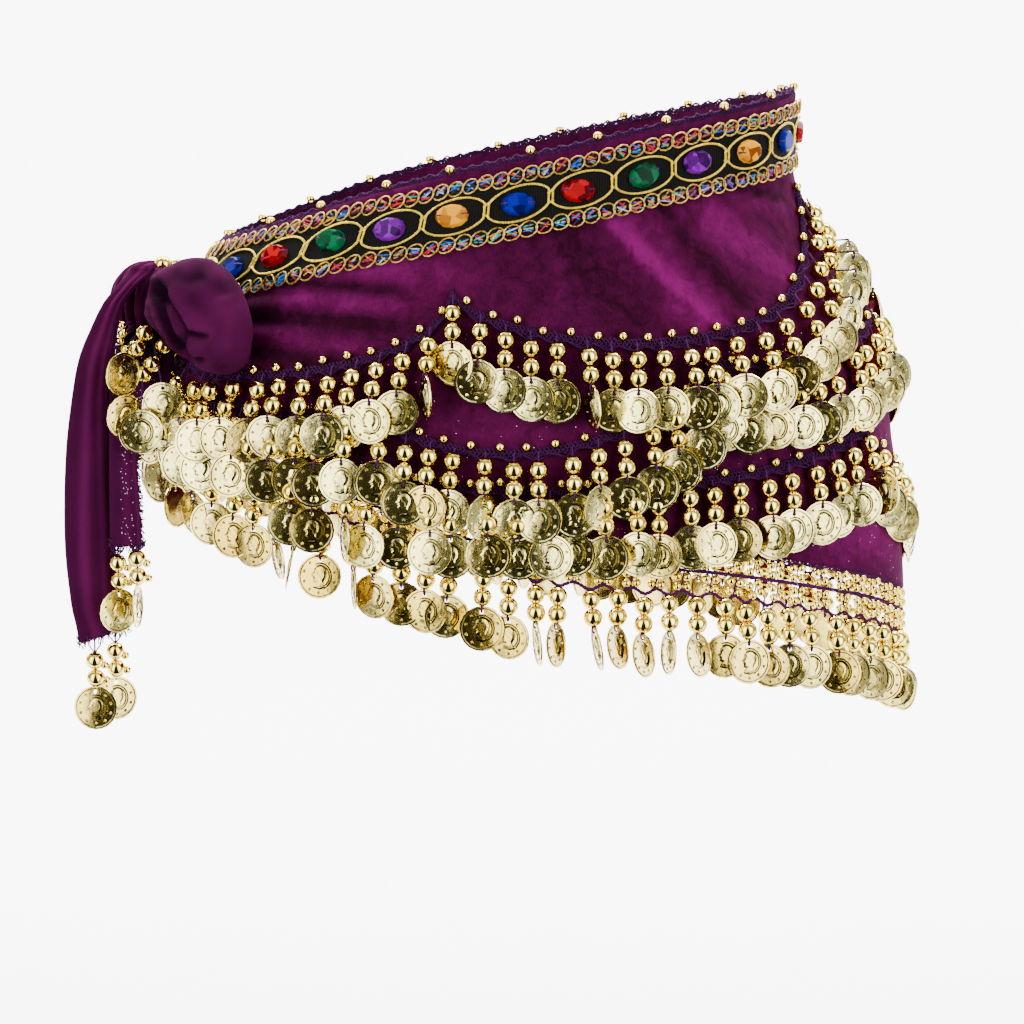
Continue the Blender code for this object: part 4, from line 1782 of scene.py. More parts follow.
    def gems(self) -> list[Piece]:
        """One gem in each oval, with a stitch through each end.

        Returns:
            The gems and their stitches.
        """
        rng = np.random.default_rng(self.seed + 1)
        cells = np.arange(-2, self.cells + 1)
        count = len(cells)
        along = (cells + 0.5) * self.pitch + rng.normal(-0.9, 0.9, count)
        across = rng.normal(0, 0.35, count)
        back = self.thickness
        centres = self.at(along, across, back + 0.05)
        sides = unit(self.at(along + 2, across + rng.normal(0, 0.3, count), back) - centres)
        ups = unit(self.at(along, across + 2, back) - centres)
        frames = frames_at(centres, sides, ups)
        frames[:, :3, :3] *= (*self.gem_half, self.gem_height)
        mesh = scatter(self.gem_template(), frames, finish_index=cells % 5)
        gems = add_piece("jewel_gems", mesh, self.finishes.gems, Slot.GEMS)
        stitches = []
        for place in frames:
            for end in (-1, 1):
                local = np.array([(end * x, y, z, 1) for x, y, z in self.stitch])
                stitches.append((local @ place.T)[:, :3])
        mesh = yarn(stitches, self.gem_stitch_radius)
        thread = add_piece("jewel_stitches", mesh, [self.finishes.stitch], Slot.RIBBON)
        return [gems, thread]

    def borders(self) -> list[Piece]:
        """Links of gold cord along both sides of the ribbon, with floss through them.

        Returns:
            The links and the floss.
        """
        rng = np.random.default_rng(self.seed + 2)
        links, floss, colours = [], [], []
        edge = self.height / 2 - self.border_inset
        turn = np.linspace(0, TURN, 12, endpoint=False)
        for border in (-edge, edge):
            before = self.under_knot + self.past_seam
            for i in range(int((self.length + self.under_knot + before) / self.link_pitch)):
                centre = (i + 0.5) * self.link_pitch - before
                radius = self.link_radius * (1 + rng.normal(0, 0.03))
                x = centre + radius * 1.12 * np.cos(turn)
                y = border + radius * np.sin(turn) + rng.normal(0, 0.15)
                ridge = 1.25 + 0.5 * np.cos(turn)
                links.append(self.at(x, y, ridge))
                floss += self.floss(centre, border, rng)
                colours += list(rng.choice(6, self.floss_count, p=self.floss_odds))
        mesh = yarn(links, self.cord_radius, closed=True)
        cord = add_piece("border_links", mesh, [self.finishes.link], Slot.RIBBON)
        mesh = yarn(floss, self.floss_radius, finish_index=[int(c) for c in colours])
        fill = add_piece("border_floss", mesh, self.finishes.threads, Slot.RIBBON)
        return [cord, fill]

    def floss(self, centre: float, border: float, rng: Rng) -> list[Points]:
        """Short threads that cross inside one link.

        Args:
            centre: The link's place along the ribbon.
            border: Its place across.
            rng: Draws the threads.

        Returns:
            Their points.
        """
        threads = []
        for _ in range(self.floss_count):
            lean = rng.uniform(-0.9, 0.9)
            shift = rng.uniform(-1.9, 1.9)
            t = np.array([-1.0, -0.3, 0.4, 1.0]) * self.link_radius * rng.uniform(0.5, 0.86)
            along = centre + t * math.cos(lean)
            across = border + shift * 0.8 + t * math.sin(lean)
            inside = self.link_radius * 0.9
            across = np.clip(across, border - inside, border + inside)
            lift = 0.55 + 0.35 * rng.random() + 0.45 * (1 - (t / t[-1]) ** 2)
            threads.append(self.at(along, across, lift))
        return threads


@dataclass
class BeadStrings:
    """One row of strings: two beads and a coin on each, hung from its crochet line."""

    finishes: Finishes
    index: int
    swing: float = 2.6
    edge_on: float = 0.05
    edge_on_ahead: float = 0.0
    brassier: float = 0.0
    coin_turn: float = 4.0
    cloth_gap: float = 3.9
    coin_gap: float = 0.8
    climb_share: float = 0.4
    bead_radius: float = 4.25
    small_radius: float = 2.15
    second_drop: float = 8.0
    hole_drop: float = 6.4
    thread_radius: float = 0.42
    net_gap: float = 0.65
    uneven: float = 0.09
    turn_spread: float = 15.0
    edge_turns: Pair = (66.0, 84.0)
    ahead_at: float = 77.0
    ahead_reach: float = 17.0
    coin_steps: Pair = (0.9, -0.7)
    brass_odds: Pair = (1.2, 2.6)
    braid_below: float = 2.2

    def __post_init__(self) -> None:
        """Pick the row, its random draws and its strings' angles."""
        self.row = ROWS[self.index]
        self.on_cloth = bool(self.row.scallops)
        self.rng = np.random.default_rng(101 + self.index)
        self.angles = self.even_angles(self.row.strings)
        count = len(self.angles)
        self.lean = np.interp(self.angles, *LEANS[self.index])
        self.sway = self.rng.normal(0, math.tan(math.radians(self.swing)), count)
        self.extra = self.rng.normal(0, 0.7, count)
        if not self.on_cloth:
            self.extra += 3.0 * ease((self.angles - 95) / 25)

    def even_angles(self, count: int) -> Points:
        """Angles that space strings evenly along the line, counting climbs for less.

        Args:
            count: How many strings.

        Returns:
            Their angles.
        """
        samples = np.linspace(self.row.start, self.row.end, 1441)
        points = FORM.place(samples, self.row.height(samples), 0)
        points[:, 2] *= self.climb_share
        lengths = run_lengths(points)
        wanted = (np.arange(count) + 0.5 + self.rng.normal(0, self.uneven, count)) / count * lengths[-1]
        return np.interp(wanted, lengths, samples)

    def hang(self, drop: Any) -> Points:
        """Where each string is at a drop below the line, in millimetres.

        Args:
            drop: One drop, or one for each string.

        Returns:
            One point for each string.
        """
        drop = np.broadcast_to(np.asarray(drop, float), self.angles.shape)
        line = self.row.height(self.angles)
        if self.on_cloth:
            stand_off = np.maximum(VELVET.lift(self.angles, line - drop), 0) + CLOTH + self.cloth_gap
        else:
            stand_off = self.net_gap
        centres = FORM.place(self.angles, line - drop, stand_off + self.lean * drop)
        return centres + FORM.around(self.angles, line) * (self.sway * drop)[:, None]

    def build(self) -> None:
        """Build the row."""
        lead = self.row.lead - 1.0 * (not self.on_cloth)
        first, second = lead + self.extra, lead + self.second_drop + self.extra
        hole = second + self.hole_drop
        self.big_beads(np.concatenate([self.hang(first), self.hang(second)]))
        self.threads(first, second, hole, self.coins(hole))
        if self.on_cloth:
            self.crochet()
            self.small_beads()
        LOG.info("%s: %d strings", self.row.name, len(self.angles))

    def big_beads(self, centres: Points) -> None:
        """Both beads of every string.

        Args:
            centres: Their middles.
        """
        sides = self.rng.normal(0, 1, centres.shape) * (1, 1, 0.1)
        scale = self.rng.normal(1, 0.02, len(centres))
        add_beads(self.row.name + "_beads", centres, sides, Bead(self.bead_radius), self.finishes.bead,
                  self.rng, replaces=[self.row.name], scale=scale)

    def coins(self, hole: Points) -> Points:
        """A coin on every string, turned a little, some edge-on; gives their frames.

        Args:
            hole: Each hole's drop.

        Returns:
            The coins' frames at their holes.
        """
        count = len(self.angles)
        line = self.row.height(self.angles)
        around, away = self.coin_ways(FORM.away(self.angles, line))
        turn = self.rng.normal(self.coin_turn, self.turn_spread, count)
        ahead = self.edge_on_ahead * ease((self.ahead_reach - np.abs(self.angles - self.ahead_at)) / 6)
        free = self.rng.random(count) < self.edge_on + ahead
        turn = np.where(free, self.rng.uniform(*self.edge_turns, count), turn)
        turn = np.radians(turn)[:, None]
        side = -around * np.cos(turn) + away * np.sin(turn)
        tip = self.lean * self.rng.uniform(-0.7, 0.6, count) + self.rng.normal(0, 0.06, count)
        up = UP - away * tip[:, None] + around * self.rng.normal(0, 0.12, (count, 1))
        step = np.where(np.arange(count) % 2 == 0, *self.coin_steps)[:, None] * away
        frames = frames_at(self.hang(hole) + step, side, up)
        if self.on_cloth:
            frames[:, :3, 3] += away * self.clearing(frames, Coin())[:, None]
        tone = self.rng.beta(*self.brass_odds, count) + self.brassier
        add_coins(self.row.name + "_coins", frames, tone, self.finishes)
        return frames

    def clearing(self, frames: Points, coin: Coin) -> Points:
        """How far out each coin still has to move for its whole disc to clear the velvet.

        Args:
            frames: The coins' frames at their holes.
            coin: What each is.

        Returns:
            Millimetres.
        """
        centres = frames[:, :3, 3] - frames[:, :3, 1] * coin.hole_at
        deepest = np.full(len(frames), np.inf)
        for turn in np.linspace(0, TURN, 12, endpoint=False):
            reach = frames[:, :3, 0] * math.cos(turn) + frames[:, :3, 1] * math.sin(turn)
            rim = centres + reach * coin.radius
            off = rim - VELVET.on(self.angles, rim[:, 2], 0)
            deepest = np.minimum(deepest, (off * FORM.away(self.angles, rim[:, 2])).sum(axis=-1))
        return np.maximum(self.coin_gap - deepest, 0)

    @staticmethod
    def coin_ways(away: Points) -> tuple[Points, Points]:
        """Level ways along and out of the coins, which lie flatter to the front than the hips.

        Args:
            away: The form's way out at each string.

        Returns:
            The ways along and out.
        """
        swing = np.arctan2(away[:, 0], np.abs(away[:, 1]))
        swing = swing * (1 - 0.6 * np.cos(swing))
        facing = np.stack([np.sin(swing), np.sign(away[:, 1]) * np.cos(swing), np.zeros_like(swing)], -1)
        return np.stack([facing[:, 1], -facing[:, 0], facing[:, 2]], -1), facing

    def threads(self, first: Points, second: Points, hole: Points, frames: Points) -> None:
        """The thread of every string, and its loop through the coin.

        Args:
            first: Drops of the first beads.
            second: Drops of the second beads.
            hole: Drops of the coins' holes.
            frames: The coins' frames at their holes.
        """
        stops = (1.5 * np.ones_like(first), first - 4.5, first, second, second + 4.2, hole - 0.6)
        line = np.stack([self.hang(drop) for drop in stops], axis=1)
        line[:, -1] = frames[:, :3, 3] + frames[:, :3, 1] * 3.0
        paths = list(line)
        turn = np.linspace(0, TURN, 9)
        loop_y, loop_z = 1.45 + 1.75 * np.cos(turn), 0.95 * np.sin(turn)
        for place in frames:
            paths.append(place[:3, 3] + np.outer(loop_y, place[:3, 1]) + np.outer(loop_z, place[:3, 2]))
        mesh = yarn(paths, self.thread_radius)
        add_piece(self.row.name + "_thread", mesh, [self.finishes.stitch], Slot.CROCHET)

    def crochet(self) -> None:
        """The row's crochet: a braid on the line, and loops from it to each string."""
        row, band = self.row, CrochetBand()

        def height(angles: Points) -> Points:
            """Middle of the braid."""
            return row.height(angles) - self.braid_below

        strands = band.cord(row.start, row.end, height, VELVET.on, ON_CLOTH + 0.9, 200 + self.index)
        strands += self.loops()
        add_piece(row.name + "_crochet", yarn(strands, band.radius), [self.finishes.crochet], Slot.CROCHET)

    def loops(self) -> list[Points]:
        """Loops of yarn that dip from the braid to each string's first bead.

        Returns:
            Their points.
        """
        paths = []
        for shift, depth in ((0.0, 1.2), (0.18, 1.9)):
            at, drop, out = [], [], []
            for before, after in zip(self.angles, self.angles[1:]):
                for share in (0.0, 0.25, 0.5, 0.75):
                    at.append(before + (after - before) * (share + shift))
                    drop.append(3.0 + 2.6 * (0.5 + 0.5 * math.cos(TURN * share)))
                    out.append(depth + 0.5 * math.sin(TURN * share))
            at = np.clip(np.array(at), self.row.start, self.row.end)
            wobble = self.rng.normal(0, 0.3, len(at))
            paths.append(VELVET.on(at, self.row.height(at) - np.array(drop) + wobble, np.array(out)))
        return paths

    def small_beads(self) -> None:
        """A small bead on the line between each two strings."""
        angles = (self.angles[1:] + self.angles[:-1]) / 2
        line = self.row.height(angles) + self.rng.normal(0.9, 0.5, len(angles))
        add_beads(self.row.name + "_small_beads", VELVET.on(angles, line, 2.3), FORM.around(angles, line),
                  Bead(self.small_radius, 10, 6), self.finishes.small_bead, self.rng)


@dataclass(frozen=True)
class StringLeans:
    """How far each row's strings stand out for each millimetre that they drop."""

    least: float = 0.08
    clearance: float = 5.4
    side_share: float = 0.3
    reach: float = 37.0
    beads_drop: float = 9.0
    window: int = 10
    side_width: float = 24.0

    def tables(self) -> list[tuple[Points, Points]]:
        """Angles and leans for each row; each string clears the rows below it.

        Returns:
            One pair of arrays for each row.
        """
        known: list[Any] = [None] * len(ROWS)
        for index in reversed(range(len(ROWS))):
            row = ROWS[index]
            angles = np.arange(math.ceil(row.start), math.floor(row.end) + 1)
            lean = np.full(len(angles), self.least)
            for lower in range(index + 1, len(ROWS)):
                under = np.interp(angles, *known[lower])
                gap = row.height(angles) - ROWS[lower].height(angles)
                beads = (under * self.beads_drop + self.clearance) / (gap + self.beads_drop)
                coins = (under * (self.reach - gap) + self.clearance) / self.reach
                near = (angles >= ROWS[lower].start) & (angles <= ROWS[lower].end) & (gap < self.reach)
                lean = np.where(near, np.maximum(lean, np.maximum(beads, coins)), lean)
            nearer = 1 - self.side_share * np.exp(-(angles / self.side_width) ** 2)
            known[index] = (angles, self.slid(self.slid(lean, np.max), np.mean) * nearer)
        return known

    def slid(self, lean: Points, how: Callable[..., Points]) -> Points:
        """Slide a window along the leans and take its largest or its mean."""
        padded = np.pad(lean, self.window, mode="edge")
        return how(np.lib.stride_tricks.sliding_window_view(padded, 2 * self.window + 1), axis=1)


LEANS = StringLeans().tables()


@dataclass
class HemNet:
    """Crochet net below the hem: two rows of four-bead clusters between three cords."""

    finishes: Finishes
    bead_radius: float = 2.0
    line_a: float = 10.3
    line_b: float = 20.6
    cluster_drops: Pair = (5.2, 15.3)
    arch_rise: float = 1.2
    arch_depth: float = 2.6
    packing: float = 1.1
    out: float = 0.75
    seed: int = 71

    def build(self, hung: Points) -> None:
        """Build the net.

        Args:
            hung: Angles of the strings that hang from it.
        """
        rng = np.random.default_rng(self.seed)
        middles = (hung[1:] + hung[:-1]) / 2
        start, end = CUT.seam - 359.2, CUT.seam - 0.8
        band = CrochetBand(pitch=5.0, half_height=0.9, half_depth=0.5, radius=0.45, points_per_pitch=5)
        strands = band.cord(start, end, lambda a: CUT.hem(a) - 0.6, FORM.place, 0.9, self.seed + 1)
        thin = CrochetBand(pitch=6.5, half_height=0.6, half_depth=0.35, radius=0.45, points_per_pitch=5)
        strands += thin.cord(start, end, lambda a: CUT.hem(a) - self.line_a, FORM.place, self.out,
                             self.seed + 2)

        def arches(angles: Points) -> Points:
            """Height of the lowest cord: high under each cluster, low at each string.

            Args:
                angles: Degrees round the form.

            Returns:
                Millimetres up.
            """
            nearest = np.interp(angles, hung, np.arange(len(hung)))
            dip = 0.5 + 0.5 * np.cos(TURN * nearest)
            return CUT.hem(angles) - self.line_b + self.arch_rise - self.arch_depth * dip

        strands += thin.cord(start, end, arches, FORM.place, self.out, self.seed + 3)
        centres = []
        for drop in self.cluster_drops:
            base = CUT.hem(middles) - drop
            roll = rng.normal(0, 0.12, len(middles))
            for side, rise in ((-1, 1), (1, 1), (-1, -1), (1, -1)):
                x = (side * np.cos(roll) - rise * np.sin(roll)) * self.bead_radius * self.packing
                z = (side * np.sin(roll) + rise * np.cos(roll)) * self.bead_radius * self.packing
                spot = FORM.place(middles, base + z, self.out + rng.normal(0, 0.15, len(middles)))
                centres.append(spot + FORM.around(middles, base) * x[:, None])
            strands += list(np.stack([
                FORM.place(middles + share * 0.4, base - share * 5.0, self.out) for share in (-1, 0, 1)
            ], axis=1))
        mesh = yarn(strands, thin.radius)
        add_piece("hem_net_yarn", mesh, [self.finishes.net_yarn], Slot.CROCHET, ["hem_net"])
        places = np.concatenate(centres)
        add_beads("hem_net_beads", places, rng.normal(0, 1, places.shape), Bead(self.bead_radius, 8, 6),
                  self.finishes.small_bead, rng, Slot.NET_BEADS)


class Crease(NamedTuple):
    """A crease of the knot, as seen from the front, and what it does to the cloth.

    Its places are millimetres to the right of the lobe's middle and up from it. The trough is
    depth deep, and the cloth to its left lies lower by step; shade is the painted shade it lays.
    """

    places: tuple[Pair, ...]
    half_width: float
    depth: float
    step: float
    shade: float


@dataclass
class KnotLobe:
    """The front lobe of the knot: a rolled fold of the tie."""

    finishes: Finishes
    angle: float = 146.5
    height: float = -46.0
    out: float = 21.6
    half: Triple = (31.0, 17.5, 27.0)
    thickness: float = 0.9
    open_behind: float = -0.72
    ripple: float = 0.5
    ripple_pitch: float = 2.6
    flat: Pair = (0.085, 0.09)
    outline: tuple[Pair, ...] = (
        (-180, 25.4), (-160, 21.2), (-131, 20.0), (-105, 21.2), (-86, 23.8), (-70, 27.0), (-55, 29.0),
        (-42, 29.0), (-24, 25.6), (3, 23.0), (24, 22.4), (46, 23.6), (62, 25.2), (86, 26.4),
        (102, 26.2), (119, 26.2), (142, 27.6), (160, 25.6), (180, 25.4),
    )
    creases: tuple[Crease, ...] = (
        Crease(((-18, 16), (-14.5, 9.8), (-10.4, 3.5), (-6.2, -3), (-5.4, -8), (-6.6, -12),
                (-5.6, -16), (-1.5, -19)), 1.2, -1.6, 5.6, 0.6),
        Crease(((-20.5, 9), (-16.5, -1), (-13.2, -9), (-9.5, -16)), 1.3, -2.2, -2.2, 0.55),
        Crease(((-23, 12.5), (-19, 11), (-15.5, 10)), 2.8, -5.4, 0.0, 1.0),
        Crease(((-24, 4), (-20.5, -4), (-16, -11)), 1.6, -0.8, 1.0, 0.2),
        Crease(((-5.2, -5.6), (0.0, -6.4), (4.8, -7.0)), 1.1, -2.4, -1.6, 0.4),
        Crease(((-4, -1.5), (2, -3.6), (8, -5)), 2.2, 0.9, 0.0, -0.12),
        Crease(((-4, 9), (0, 4.5), (4.5, 1.5)), 3.2, -1.3, 0.0, 0.08),
        Crease(((-7, -17.4), (-1.5, -18.6), (2.6, -17.8)), 1.3, -2.0, 0.0, 0.4),
        Crease(((-12, 20), (-4, 17), (3, 19)), 3.0, -0.8, 0.0, 0.12),
        Crease(((12, 10), (15, 0), (14, -12)), 4.5, 0.9, 0.0, -0.1),
        Crease(((4, -12), (9, -18), (12, -23)), 3.0, -0.7, 0.0, 0.12),
    )

    def build(self) -> None:
        """Build the lobe."""
        ball = bmesh.new()
        bmesh.ops.create_uvsphere(ball, u_segments=160, v_segments=104, radius=1)
        hidden = [f for f in ball.faces if f.calc_center_median().y < self.open_behind]
        bmesh.ops.delete(ball, geom=hidden, context="FACES")
        mesh = close_bmesh(ball)
        local = values_of(mesh.vertices, "co", float, 3).reshape(-1, 3)
        centre = FORM.place(self.angle, self.height, self.out)
        axes = np.stack([-FORM.around(self.angle, self.height), FORM.away(self.angle, self.height), UP])
        half = np.array(self.half)
        offset = (local * half) @ axes
        normal = unit((local / half) @ axes)
        offset[:, [0, 2]] *= self.fit_outline(offset)[:, None]
        push, shade = self.creasing(offset[:, [0, 2]], ease((0.25 - normal[:, 1]) / 0.5))
        ripple = np.array([noise.noise(Vector(p) * self.ripple_pitch) for p in local])
        placed = centre + offset + normal * (push + self.ripple * ripple)[:, None]
        mesh.vertices.foreach_set("co", (placed * MM).ravel())
        mesh.flip_normals()
        # painted shade: darker towards the top and along the creases, with a random ripple
        nap = 0.4 - 0.2 * ease(local[:, 2] * 1.5 - 0.1) + 0.12 * ripple - 0.95 * shade
        store(mesh, "nap", np.clip(nap, 0, 1))
        lobe = add_piece("knot_lobe", mesh, [self.finishes.tie], Slot.TIE, ["knot_bulb"])
        thicken(lobe, self.thickness, -1)

    def fit_outline(self, offset: Points) -> Points:
        """How much each point is drawn out or in, so that the front view has the outline.

        Args:
            offset: Each point, from the lobe's middle.

        Returns:
            A factor for each.
        """
        way = np.degrees(np.arctan2(offset[:, 2], offset[:, 0]))
        ways = np.radians([row[0] for row in self.outline])
        across = math.hypot(self.half[0] * 0.66, self.half[1] * 0.77)
        plain = 1 / np.hypot(np.cos(ways) / across, np.sin(ways) / self.half[2])
        drawn = np.array([row[1] for row in self.outline]) / plain
        return np.interp(way, [row[0] for row in self.outline], drawn)

    def creasing(self, seen: Points, facing: Points) -> tuple[Points, Points]:
        """What the creases do at each point.

        Args:
            seen: Places in the front view.
            facing: How far each point faces the front.

        Returns:
            Millimetres out, and how much painted shade.
        """
        push, shade = np.zeros(len(seen)), np.zeros(len(seen))
        for crease in self.creases:
            signed, along = self.aside(seen, np.array(crease.places))
            inside = ease(along[0]) * ease(along[1]) * facing
            trough = np.exp(-(signed / crease.half_width) ** 2)
            left = ease(-signed / 1.1 + 0.5) * np.exp(-np.maximum(-signed, 0) / 7)
            push += (crease.depth * trough - crease.step * left) * inside
            # painted shade along each crease, and more painted shade just left of its step
            dim = np.exp(-(signed / (1.25 * crease.half_width)) ** 2)
            under = ease(-signed / 1.1 + 0.5) * np.exp(-np.maximum(-signed, 0) / 2.6)
            shade += (crease.shade * dim + 0.08 * max(crease.step, 0) * under) * inside
        return push, shade

    @staticmethod
    def aside(seen: Points, places: Points) -> tuple[Points, tuple[Points, Points]]:
        """Distance to a line of places, and how far inside its two ends.

        Args:
            seen: Places in the front view.
            places: The line, from its top down.

        Returns:
            The distances, less than 0 on the left, and a share inside each end.
        """
        best, signed, run = np.full(len(seen), np.inf), np.zeros(len(seen)), np.zeros(len(seen))
        gone, total = 0.0, float(run_lengths(places)[-1])
        for start, end in zip(places, places[1:]):
            step = end - start
            length = float(np.linalg.norm(step))
            share = ((seen - start) @ step) / length ** 2
            gap = np.linalg.norm(seen - start - np.clip(share, 0, 1)[:, None] * step, axis=1)
            cross = step[0] * (seen[:, 1] - start[1]) - step[1] * (seen[:, 0] - start[0])
            nearer = gap < best
            signed = np.where(nearer, np.sign(cross) * gap, signed)
            run = np.where(nearer, gone + share * length, run)
            best = np.minimum(best, gap)
            gone += length
        return signed, (run / 4 + 0.6, (total - run) / 4 + 0.6)


@dataclass
class KnotWrap:
    """The stretch of the tie wound round the knot, in parallel folds."""

    finishes: Finishes
    centre: Triple = (-170.7, -32.3, -41.2)
    axis: Triple = (-0.80, 0.58, 0.12)
    half_length: float = 17.6
    radius: float = 18.0
    folds: int = 7
    fold_depth: float = 0.2
    thickness: float = 0.9
    flat: Pair = (0.036, 0.113)

    def build(self) -> None:
        """Build the wound stretch."""
        axis = unit(np.array(self.axis))
        up = unit(UP - axis * axis[2])
        side = np.cross(axis, up)
        along = np.sin(np.linspace(-math.pi / 2 * 0.97, math.pi / 2 * 0.97, 90))
        turn = np.linspace(0, TURN, 121)
        a, t = np.meshgrid(along, turn, indexing="ij")
        drift = 0.10 * np.sin(t + 0.6) + 0.05 * np.sin(2 * t)
        cusp = np.abs(np.sin(math.pi * self.folds * (a + drift) / 2 + 0.35 * np.sin(3 * t)))
        fold = 1 - self.fold_depth * (1 - cusp ** 0.55) * (1 - 0.3 * np.cos(t))
        radius = self.radius * np.sqrt(np.clip(1 - a * a, 0.002, 1)) * fold
        middle = np.array(self.centre) + a[..., None] * axis * self.half_length
        rim = up * np.cos(t)[..., None] + side * np.sin(t)[..., None]
        points = middle + rim * radius[..., None]
        flat = np.stack([a * self.half_length, t * self.radius], axis=-1)
        mesh = cloth_grid(points, flat, rim[0, 0] - 3 * axis)
        # painted shade in the folds' hollows and painted light on their ridges
        store(mesh, "nap", np.clip(0.06 + 0.52 * cusp ** 0.7, 0, 1).T)
        wrap = add_piece("knot_wrap_folds", mesh, [self.finishes.tie], Slot.TIE, ["knot_wrap"])
        thicken(wrap, self.thickness, -1)


class TailSection(NamedTuple):
    """One level section of a hanging tie."""

    height: float
    left: float
    right: float
    front: float


class TailString(NamedTuple):
    """A string below a tie's end: its place, the drop to its first bead and its coin's turn."""

    x: float
    behind: float
    lead: float
    turn: float


class Pleat(NamedTuple):
    """A soft pleat down a tie: where it lies across the front, and its size."""

    share: float
    half_width: float
    lift: float
    light: float


@dataclass
class Tail:
    """A hanging end of the tie, folded lengthwise, with its beads and frayed end."""

    finishes: Finishes
    name: str
    node: str
    sections: tuple[TailSection, ...]
    pleats: tuple[Pleat, ...]
    strings: tuple[TailString, ...]
    flat: Pair
    glitter: Pair
    frays: int
    fray_length: float
    slant: float = 0.0
    top_shade: float = 0.0
    bend: float = 2.3
    thickness: float = 0.8
    fray_radius: float = 0.3
    thread_radius: float = 0.4
    front_share: float = 0.42
    plain_light: float = 0.27
    cut_width: float = 50.6
    columns: int = 72
    rows: int = 120
    bead_radii: Pair = (4.1, 1.9)
    seed: int = 301

    def read(self, column: str, height: Points) -> Points:
        """One of the sections' sizes at a height."""
        rising = sorted(self.sections)
        return smooth([s.height for s in rising], [getattr(s, column) for s in rising], height)

    def build(self) -> None:
        """Build the tie's end and what hangs from it."""
        heights = np.linspace(self.sections[0].height, self.sections[-1].height, self.rows)
        shares = np.linspace(0, 1, self.columns)
        points, flat = self.outline(heights, shares)
        mesh = cloth_grid(points, flat)
        # painted light and shade of the pleats
        store(mesh, "nap", self.light(heights, shares).T)
        store(mesh, "specks", self.speckle(heights, shares).T)
        tie = add_piece(self.name, mesh, [self.finishes.tie], Slot.TIE, [self.node])
        thicken(tie, self.thickness, 0)
        self.hung_strings()
        frayed = self.frayed_end()

    def outline(self, heights: Points, shares: Points) -> tuple[Points, Points]:
        """The folded cloth: across the front, round the fold at the left, and back.

        Args:
            heights: Heights of the sections.
            shares: Shares of the way along each section.

        Returns:
            The points and their places on the flat cut.
        """
        left, right = self.read("left", heights), self.read("right", heights)
        front = self.read("front", heights)
        width = right - left - self.bend
        across = np.zeros((len(heights), len(shares), 3))
        flat = np.zeros((len(heights), len(shares), 2))
        rim = self.front_share
        for k, share in enumerate(shares):
            if share < rim:
                x, y = right - width * share / rim, front - self.relief(heights, 1 - share / rim)
            elif share < 1 - rim:
                angle = math.pi * (share - rim) / (1 - 2 * rim) - math.pi / 2
                x = left + self.bend - self.bend * math.cos(angle)
                y = front + self.bend + self.bend * math.sin(angle)
            else:
                back = (share - 1 + rim) / rim
                x, y = left + self.bend + (width - 2) * back, front + 2 * self.bend + 0.3 * back
            across[:, k] = np.stack([x, y, heights + self.rise(x, heights)], axis=-1)
            flat[:, k] = np.stack([np.full_like(heights, share * self.cut_width), heights], axis=-1)
        return across, flat

    def rise(self, x: Points, heights: Points) -> Points:
        """How much higher the slanted end lies at its right.

        Args:
            x: Places across.
            heights: Millimetres up.

        Returns:
            Millimetres.
        """
        end = self.sections[-1]
        share = (x - end.left) / (end.right - end.left)
        return self.slant * np.clip(share, 0, 1) * ease((end.height + 40 - heights) / 40)

    def relief(self, heights: Points, share: float) -> Points:
        """How far the front's pleats stand forward at a share of its width from the left."""
        lift = self.pleated(heights, share, "lift")
        return lift * ease((self.sections[0].height - heights) / 18 + 0.2)

    def pleated(self, heights: Points, front: Any, column: str) -> Points:
        """Add one of the pleats' sizes over all pleats, faded to their sides.

        Args:
            heights: Millimetres up.
            front: Shares of the front's width from the left.
            column: Which size.

        Returns:
            The sum.
        """
        total = np.zeros(np.broadcast(heights, front).shape)
        for k, pleat in enumerate(self.pleats):
            drift = 0.03 * np.sin(heights * 0.045 + k * 2.0)
            aside = (front - pleat.share - drift) / pleat.half_width
            total = total + getattr(pleat, column) * np.exp(-aside ** 2)
        return total

    def light(self, heights: Points, shares: Points) -> Points:
        """The cloth's painted light: bright along the pleats' ridges, less a painted shadow near its top.

        Args:
            heights: Millimetres up.
            shares: Shares of the way along each section.

        Returns:
            From 0 to 1.
        """
        tone = self.plain_light + self.pleated(heights[:, None], 1 - shares / self.front_share, "light")
        below = (self.sections[0].height - heights)[:, None]
        return np.clip(tone - self.top_shade * (1 - ease(below / 45)), 0, 1)

    def speckle(self, heights: Points, shares: Points) -> Points:
        """Where the cloth glitters: one lengthwise strip.

        Args:
            heights: Millimetres up.
            shares: Shares of the way along each section.

        Returns:
            1 where it glitters, 0 elsewhere.
        """
        front = 1 - shares / self.front_share
        low, high = self.glitter
        strip = ((front > low) & (front < high)).astype(float)
        return np.broadcast_to(strip[None, :], (len(heights), len(shares)))

